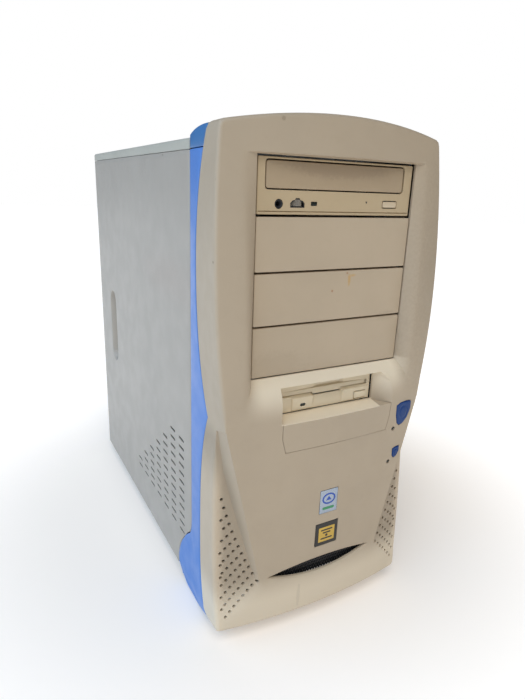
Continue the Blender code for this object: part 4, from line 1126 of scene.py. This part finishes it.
def make_tray():
    """Disc tray: its door and the leaf behind it, stepped for two sizes of disc."""
    def door_front(x, z):
        return -200.5 + 0.35 * smooth_step((z - 412.0) / 8.0)
    door = moulding("tray_door", resample(rounded(DOOR_MIDDLE, (65.0, 9.7), 2.0, 4), 6), door_front, -198.0,
                    0.6, 5.0, TRAY)

    def leaf_place(x, y, layer):
        reach = math.hypot(x - DISC_MIDDLE[0], y - DISC_MIDDLE[1])
        drop = 1.6 * smooth_step((60.6 - reach) / 0.6) + 1.0 * smooth_step((40.6 - reach) / 0.6)
        return (x, y, LEAF_LOW if layer else LEAF_TOP - drop)
    rings = [(circle(DISC_MIDDLE, r, 64), True) for r in (60.6, 60.0, 40.6, 40.0)]
    slot = rounded((DISC_MIDDLE[0], -110.0), (12.0, 30.0), 11.9, 6)
    leaf = relief("tray_leaf", resample(round_corners(rectangle((-64, -198.2), (62, -50)), 4, 4), 6),
                  [slot], leaf_place, 7.0, TRAY, rings, None, 30.0)
    set_in(joined("disc_tray", [door, leaf]), "optical_tray", "drive_plastic", "optical_tray")


def make_eject(name, loop, front, material, node):
    """The eject button of a drive."""
    set_in(moulding(name, loop, front, -192.0, 0.5, 2.5, material), node, "drive_plastic", node)


def make_optical_controls():
    """Eject button, and the knurled volume wheel in its window."""
    make_eject("tray_button", rounded(EJECT_MIDDLE, (7.1, 2.35), 1.0, 3),
               lambda x, z: -201.1 - 0.25 * (1 - ((x - EJECT_MIDDLE[0]) / 8) ** 2), BUTTON_LIGHT,
               "optical_eject_button")
    window = counter_clockwise(WHEEL_WINDOW)
    liner = moulding("dial_window", grow(window, -0.06), OPTICAL_LOW[1] + 0.15, -197.6, 0.05, 2.0, BLACK,
                     [grow(window, -0.75)])
    set_in(liner, "root", "black_plastic")
    knurl = []
    for i in range(48):
        a, radius = math.pi * i / 24, 5.6 if i % 2 else 5.0
        knurl.append((radius * math.cos(a) + WHEEL_MIDDLE[0], radius * math.sin(a) + WHEEL_MIDDLE[1]))

    def wheel_place(x, y, layer):
        return (x, y, 387.9 if layer else 392.7)
    wheel = relief("volume_dial", knurl, [circle(WHEEL_MIDDLE, 1.0, 10)], wheel_place, 3.0, WHEEL)
    set_in(wheel, "optical_volume_wheel", "drive_plastic", "optical_volume_wheel")


def make_lens(name, loop, y):
    """The small light of a drive."""
    set_in(moulding(name, loop, y, -196.0, 0.2, 1.0, LENS), "root", "lens")


def make_optical_details():
    """Headphone socket, light and a small printed mark."""
    y = OPTICAL_LOW[1]
    x, z = SOCKET_MIDDLE
    socket = lathe("headphone_socket", [(1.7, 12.0), (3.5, 12.0), (3.5, 0.5), (3.2, 0.1), (2.6, 0.2),
                                        (1.7, 1.4), (1.7, 12.0)], (x, -200.3, z), BLACK, 24)
    # The bore is closed a few millimetres in by a near-black disc: painted shade inside the socket.
    bore = lathe("headphone_bore", [(0.0, 4.0), (1.65, 4.0), (1.65, 5.0), (0.0, 5.0)], (x, -200.0, z),
                 SHADE_BLACK, 16)
    set_in(joined("headphone_socket", [socket, bore]), "root", "black_plastic", "headphone_jack")
    make_lens("drive_lens", rounded(LENS_MIDDLE, (2.6, 1.3), 0.4, 2), y - 0.1)
    mark = moulding("tray_mark", [(28.2, 392.6), (26.2, 392.6), (27.2, 390.6)], y - 0.06, y + 0.3, 0.05, 1.0,
                    INK_BLACK)
    set_in(mark, "root", "drive_plastic")


RAISED = [((-34.2, 219.4), (-12.2, 231.6)), ((18.2, 219.4), (47.6, 231.6))]
RAISED_BY = 1.4
NOTCH_LOW, NOTCH_HIGH = (-12.2, 222.6), (18.2, 229.4)
DISK_KEY_MIDDLE = (38.0, 223.9)
DISK_LENS_MIDDLE = (-22.9, 223.8)


def floppy_front(x, z):
    """Depth of the floppy drive's front: two raised fields and a finger notch between them."""
    rise = 0.0
    for (x0, z0), (x1, z1) in RAISED:
        rise = max(rise, RAISED_BY * clamp(min(x - x0, x1 - x, z - z0, z1 - z) / 0.8))
    if NOTCH_LOW[0] - 0.1 < x < NOTCH_HIGH[0] + 0.1 and z > NOTCH_LOW[1]:
        rise = -2.2 * clamp((z - NOTCH_LOW[1]) / (NOTCH_HIGH[1] - NOTCH_LOW[1]))
    return FLOPPY_LOW[1] - rise


def make_floppy():
    y = FLOPPY_LOW[1]
    slot = [(-46.5, 232.4), (NOTCH_LOW[0], 232.4), (NOTCH_LOW[0], NOTCH_HIGH[1]), NOTCH_HIGH,
            (NOTCH_HIGH[0], 232.4), (46.5, 232.4), (46.5, 237.2), (-46.5, 237.2)]
    holes = [slot, rounded(DISK_KEY_MIDDLE, (6.9, 3.7), 0.8, 2),
             rounded(DISK_LENS_MIDDLE, (2.8, 1.4), 1.0, 2)]
    creases = []
    for (x0, z0), (x1, z1) in RAISED:
        for inset in (0.05, 0.85):
            field = rectangle((x0 + inset, z0 + inset), (x1 - inset, min(z1, 231.4) - inset))
            creases.append((resample(field, 4), True))
    creases.append(open_crease([(NOTCH_LOW[0] + 0.1, NOTCH_LOW[1]), (NOTCH_HIGH[0] - 0.1, NOTCH_LOW[1])], 3))
    for x in (NOTCH_LOW[0] + 0.12, NOTCH_HIGH[0] - 0.12):
        creases.append(([(x, z) for z in (222.9, 225.0, 227.0, 229.0)], False))
    loop = resample(rectangle((FLOPPY_LOW[0] + 0.5, FLOPPY_LOW[2] + 0.3),
                              (FLOPPY_HIGH[0] - 0.5, FLOPPY_HIGH[2] - 0.3)), 6)
    face = moulding("floppy_front", loop, floppy_front, FLOPPY_HIGH[1], 0.5, 4.0, FLOPPY, holes, creases)
    set_in(face, "root", "drive_plastic", "floppy_faceplate")

    make_eject("disk_button", rounded(DISK_KEY_MIDDLE, (6.1, 2.9), 0.8, 3),
               lambda x, z: y - 2.4 - 0.2 * (1 - ((x - DISK_KEY_MIDDLE[0]) / 7) ** 2), FLOPPY,
               "floppy_eject_button")
    leaf = [(-45.6, 232.8), (-11.6, 232.8), (-11.6, 231.0), (17.6, 231.0), (17.6, 232.8), (45.6, 232.8),
            (45.6, 236.7), (-45.6, 236.7)]
    door = moulding("disk_door", resample(leaf, 6), -198.4, -197.6, 0.15, 6.0, FLOPPY)
    set_in(door, "floppy_door", "black_plastic", "floppy_door")
    make_lens("disk_lens", rounded(DISK_LENS_MIDDLE, (2.6, 1.2), 0.9, 3), y - 1.2)


make_covers()
make_insert()
make_optical_front()
make_tray()
make_optical_controls()
make_optical_details()
make_floppy()


# ---------------------------------------------------------------- buttons, lights and badges

def make_button(name, loop, node, groove):
    """A domed blue button with a raised oval ring."""
    loop = resample(round_corners(counter_clockwise(loop), 1.2, 3), 1.5)
    x0 = sum(p[0] for p in loop) / len(loop)
    z0 = sum(p[1] for p in loop) / len(loop)
    base = face_y(x0, z0)
    reach = max((Vector(p) - Vector((x0, z0))).length for p in loop)

    def front(x, z):
        away = (Vector((x, z)) - Vector((x0, z0))).length / reach
        ring = math.hypot((x - x0) / groove[0], (z - z0) / groove[1])
        return base - 0.5 - 1.0 * (1 - away ** 2) + 0.45 * smooth_step(1 - abs(ring - 0.85) / 0.22)
    rings = [(ellipse((x0, z0), (groove[0] * share, groove[1] * share), 24), True)
             for share in (0.63, 0.74, 0.85, 0.96, 1.07)]
    button = moulding(name, loop, front, -190.0, 0.7, 1.6, BUTTON, (), rings, 40.0)
    set_in(button, node, "blue_plastic", node)


def printed(name, loop, y, thick, material, pitch=2.0, holes=()):
    """A flat coloured shape on a badge, with its face at a depth."""
    return moulding(name, loop, y, y + thick, 0.05, pitch, material, holes)


def make_case_badge():
    """A black frame round a gold field with bars and a disc."""
    low, high = BADGES["case_badge"]
    middle, half = middle_and_half(low, high)
    y = low[1]
    x, z = middle[0] + 0.2, middle[1] - 0.6
    pieces = [moulding("badge_frame", rounded(middle, half, 1.0, 3), y + 0.15, high[1], 0.3, 4.0, INK_BLACK),
              moulding("badge_field", rounded((x, z), (half[0] - 3.4, half[1] - 4.2), 0.5, 2), y + 0.06,
                       y + 0.5, 0.1, 4.0, GOLD)]
    for i, (wide, rise) in enumerate(((6.5, 4.6), (4.4, 1.6), (6.5, -4.4))):
        bar = rounded((x, middle[1] + rise - 0.6), (wide, 0.75), 0.7, 3)
        pieces.append(printed("badge_bar_" + str(i), bar, y, 0.5, INK_BLACK, 3.0))
    pieces.append(printed("badge_disc", circle((x, middle[1] - 1.9), 1.5, 6), y, 0.5, INK_BLACK))
    set_in(joined("front_badge", pieces), "root", "badge", "case_badge")


def make_processor_badge():
    """A silver label with a blue ring, a blue core and a green bar."""
    low, high = BADGES["processor_badge"]
    middle, half = middle_and_half(low, high)
    x, z = middle
    y = low[1]
    pieces = [moulding("label_sheet", rounded(middle, half, 0.8, 3), y + 0.12, high[1], 0.2, 4.0, FOIL),
              printed("label_ring", ellipse((x, z + 2.6), (7.2, 5.6), 32), y, 0.4, INK_BLUE,
                      holes=[ellipse((x, z + 2.6), (5.6, 4.1), 28)]),
              printed("label_core", [(x - 3, z + 1), (x + 3, z + 1), (x, z + 5)], y, 0.4, INK_BLUE),
              printed("label_bar", rounded((x, z - 7.0), (6.4, 1.3), 1.2, 3), y, 0.4, INK_GREEN)]
    set_in(joined("front_label", pieces), "root", "badge", "processor_badge")


def make_lights():
    """Domed lights beside the two buttons."""
    profile = [(0.0, 0.3), (0.8, 0.42), (1.5, 0.8), (1.9, 1.5), (1.9, 20.0), (0.0, 20.0)]
    for name, (x, z) in LED_PLACES.items():
        set_in(lathe(name + "_dome", profile, (x, face_y(x, z), z), LENS, 20), "root", "lens", name)


def make_mesh():
    """The black screen behind the smile, with rows of round holes."""
    low, high = corners("intake_mesh")
    holes = []
    for row in range(9):
        for column in range(38):
            x = -57.5 + 3.1 * column + (1.55 if row % 2 else 0.0)
            if x < 58.5:
                holes.append(circle((x, 52.6 + 3.0 * row), 1.15, 6))

    def place(x, z, layer):
        return (x, high[1] if layer else low[1], z)
    outline = resample(rectangle((low[0], low[2]), (high[0], high[2])), 6)
    mesh = relief("intake_screen", outline, holes, place, 30.0, BLACK)
    set_in(mesh, "root", "black_plastic", "intake_mesh")


make_button("power_key", POWER_OUTLINE, "power_button", (5.2, 7.6))
make_button("reset_key", RESET_OUTLINE, "reset_button", (2.6, 3.4))
make_case_badge()
make_processor_badge()
make_lights()
make_mesh()


# ---------------------------------------------------------------- finish of the carried-over solids

NODE_FINISH = {
    ZINC: ("chassis_base", "drive_cage_large", "drive_cage_small", "chassis_front", "rear_panel",
           "motherboard_tray", "psu_base", "psu_cover", "psu_rear", "slot_cover_4", "slot_cover_5",
           "optical_drive_body", "floppy_drive_body", "io_shield", "thumbscrew_left_1",
           "thumbscrew_left_2", "thumbscrew_right_1", "thumbscrew_right_2"),
    BLACK: ("switch_bracket", "psu_fan", "psu_inlet", "psu_rocker_switch", "cpu_fan", "cpu_fan_frame"),
    RUBBER: ("rear_foot_left", "rear_foot_right"),
    GREEN: ("motherboard", "memory_module", "graphics_card", "sound_card"),
    SILVER: ("hard_drive", "cpu_heatsink"),
    RED: ("psu_voltage_selector",),
    WIRES: ("power_harness",),
}
for finish, names in NODE_FINISH.items():
    for name in names:
        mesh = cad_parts[name].data
        mesh.materials.clear()
        mesh.materials.append(finish)


# ---------------------------------------------------------------- camera, light and floor

CAMERA_TURN = (29.16, 17.01, 2.11)
CAMERA_PLACE = (-258.56, -549.18, 399.47)
CAMERA_LENS = 27.058


def make_camera():
    """The camera stands ahead of the tower's left corner and looks down on it."""
    heading, pitch, roll = (math.radians(a) for a in CAMERA_TURN)
    forward = Vector((math.sin(heading) * math.cos(pitch), math.cos(heading) * math.cos(pitch),
                      -math.sin(pitch)))
    right = Vector((math.cos(heading), -math.sin(heading), 0.0))
    up = right.cross(forward)
    turned_right = right * math.cos(roll) + up * math.sin(roll)
    turned_up = up * math.cos(roll) - right * math.sin(roll)
    camera = bpy.data.objects.new("camera", bpy.data.cameras.new("camera"))
    camera.data.lens = CAMERA_LENS
    camera.data.sensor_width = 36.0
    camera.data.clip_start = 0.01
    turn = Matrix((turned_right, turned_up, -forward)).transposed().to_4x4()
    camera.matrix_world = Matrix.Translation(Vector(CAMERA_PLACE) * MM) @ turn
    bpy.context.scene.collection.objects.link(camera)
    bpy.context.scene.camera = camera


def make_light(name, heading, height, spread, strength, colour):
    """A broad, distant light from a compass heading (0 ahead of the front, 90 on its right)."""
    data = bpy.data.lights.new(name, "SUN")
    data.angle = math.radians(spread)
    data.energy = strength
    data.color = colour
    obj = bpy.data.objects.new(name, data)
    around, up = math.radians(heading), math.radians(height)
    away = Vector((math.sin(around) * math.cos(up), -math.cos(around) * math.cos(up), math.sin(up)))
    obj.rotation_euler = away.to_track_quat("Z", "Y").to_euler()
    bpy.context.scene.collection.objects.link(obj)


FLOOR_RADIUS = 9000.0
GLOW_NEAR, GLOW_FAR = 0.2, 0.48


def make_stage():
    """A floor that glows faintly, a white background for the camera alone, and two broad lights."""
    world = bpy.data.worlds.new("world")
    bpy.context.scene.world = world
    world.use_nodes = True
    tree = world.node_tree
    lit = tree.nodes["Background"]
    fill(lit, {"Color": (0.98, 1.0, 1.03), "Strength": 0.12})
    seen = add_node(tree, "Background", {"Color": (1.0, 1.0, 1.0), "Strength": 1.0})
    rays = add_node(tree, "LightPath", {})
    mix = add_node(tree, "MixShader", {0: rays.outputs["Is Camera Ray"], 1: lit.outputs[0],
                                       2: seen.outputs[0]})
    fill(tree.nodes["World Output"], {"Surface": mix.outputs[0]})
    s = Shader("floor_paper", 0.9, specular=0.1)
    paper = s.mix(s.ramp(s.noise(3.0), 0.3, 0.7), (0.95, 0.87, 0.78), (0.97, 0.89, 0.80))
    # Near the tower the paper is painted darker and glows less, so it throws back less light; to the camera
    # this is a painted shade round the tower's foot.
    near = s.spot((0.0, 0.0, 0.0), 500.0, 350.0, uneven=0.0)
    fill(s.main, {"Base Color": s.mix(near, paper, (0.80, 0.74, 0.67)), "Emission Color": (1.0, 1.0, 1.0),
                  "Emission Strength": s.math("MULTIPLY_ADD", near, GLOW_NEAR - GLOW_FAR, GLOW_FAR)})
    bm = bmesh.new()
    bmesh.ops.create_circle(bm, cap_ends=True, segments=64, radius=FLOOR_RADIUS)
    floor = finish_mesh("floor", bm, s.material)
    floor.location.z = -0.0005
    make_light("key", -25, 57, 35, 1.6, (1.0, 0.995, 0.98))
    make_light("left", -95, 28, 80, 2.1, (0.42, 0.66, 1.0))
    bpy.context.scene.view_settings.view_transform = "Standard"


make_camera()
make_stage()
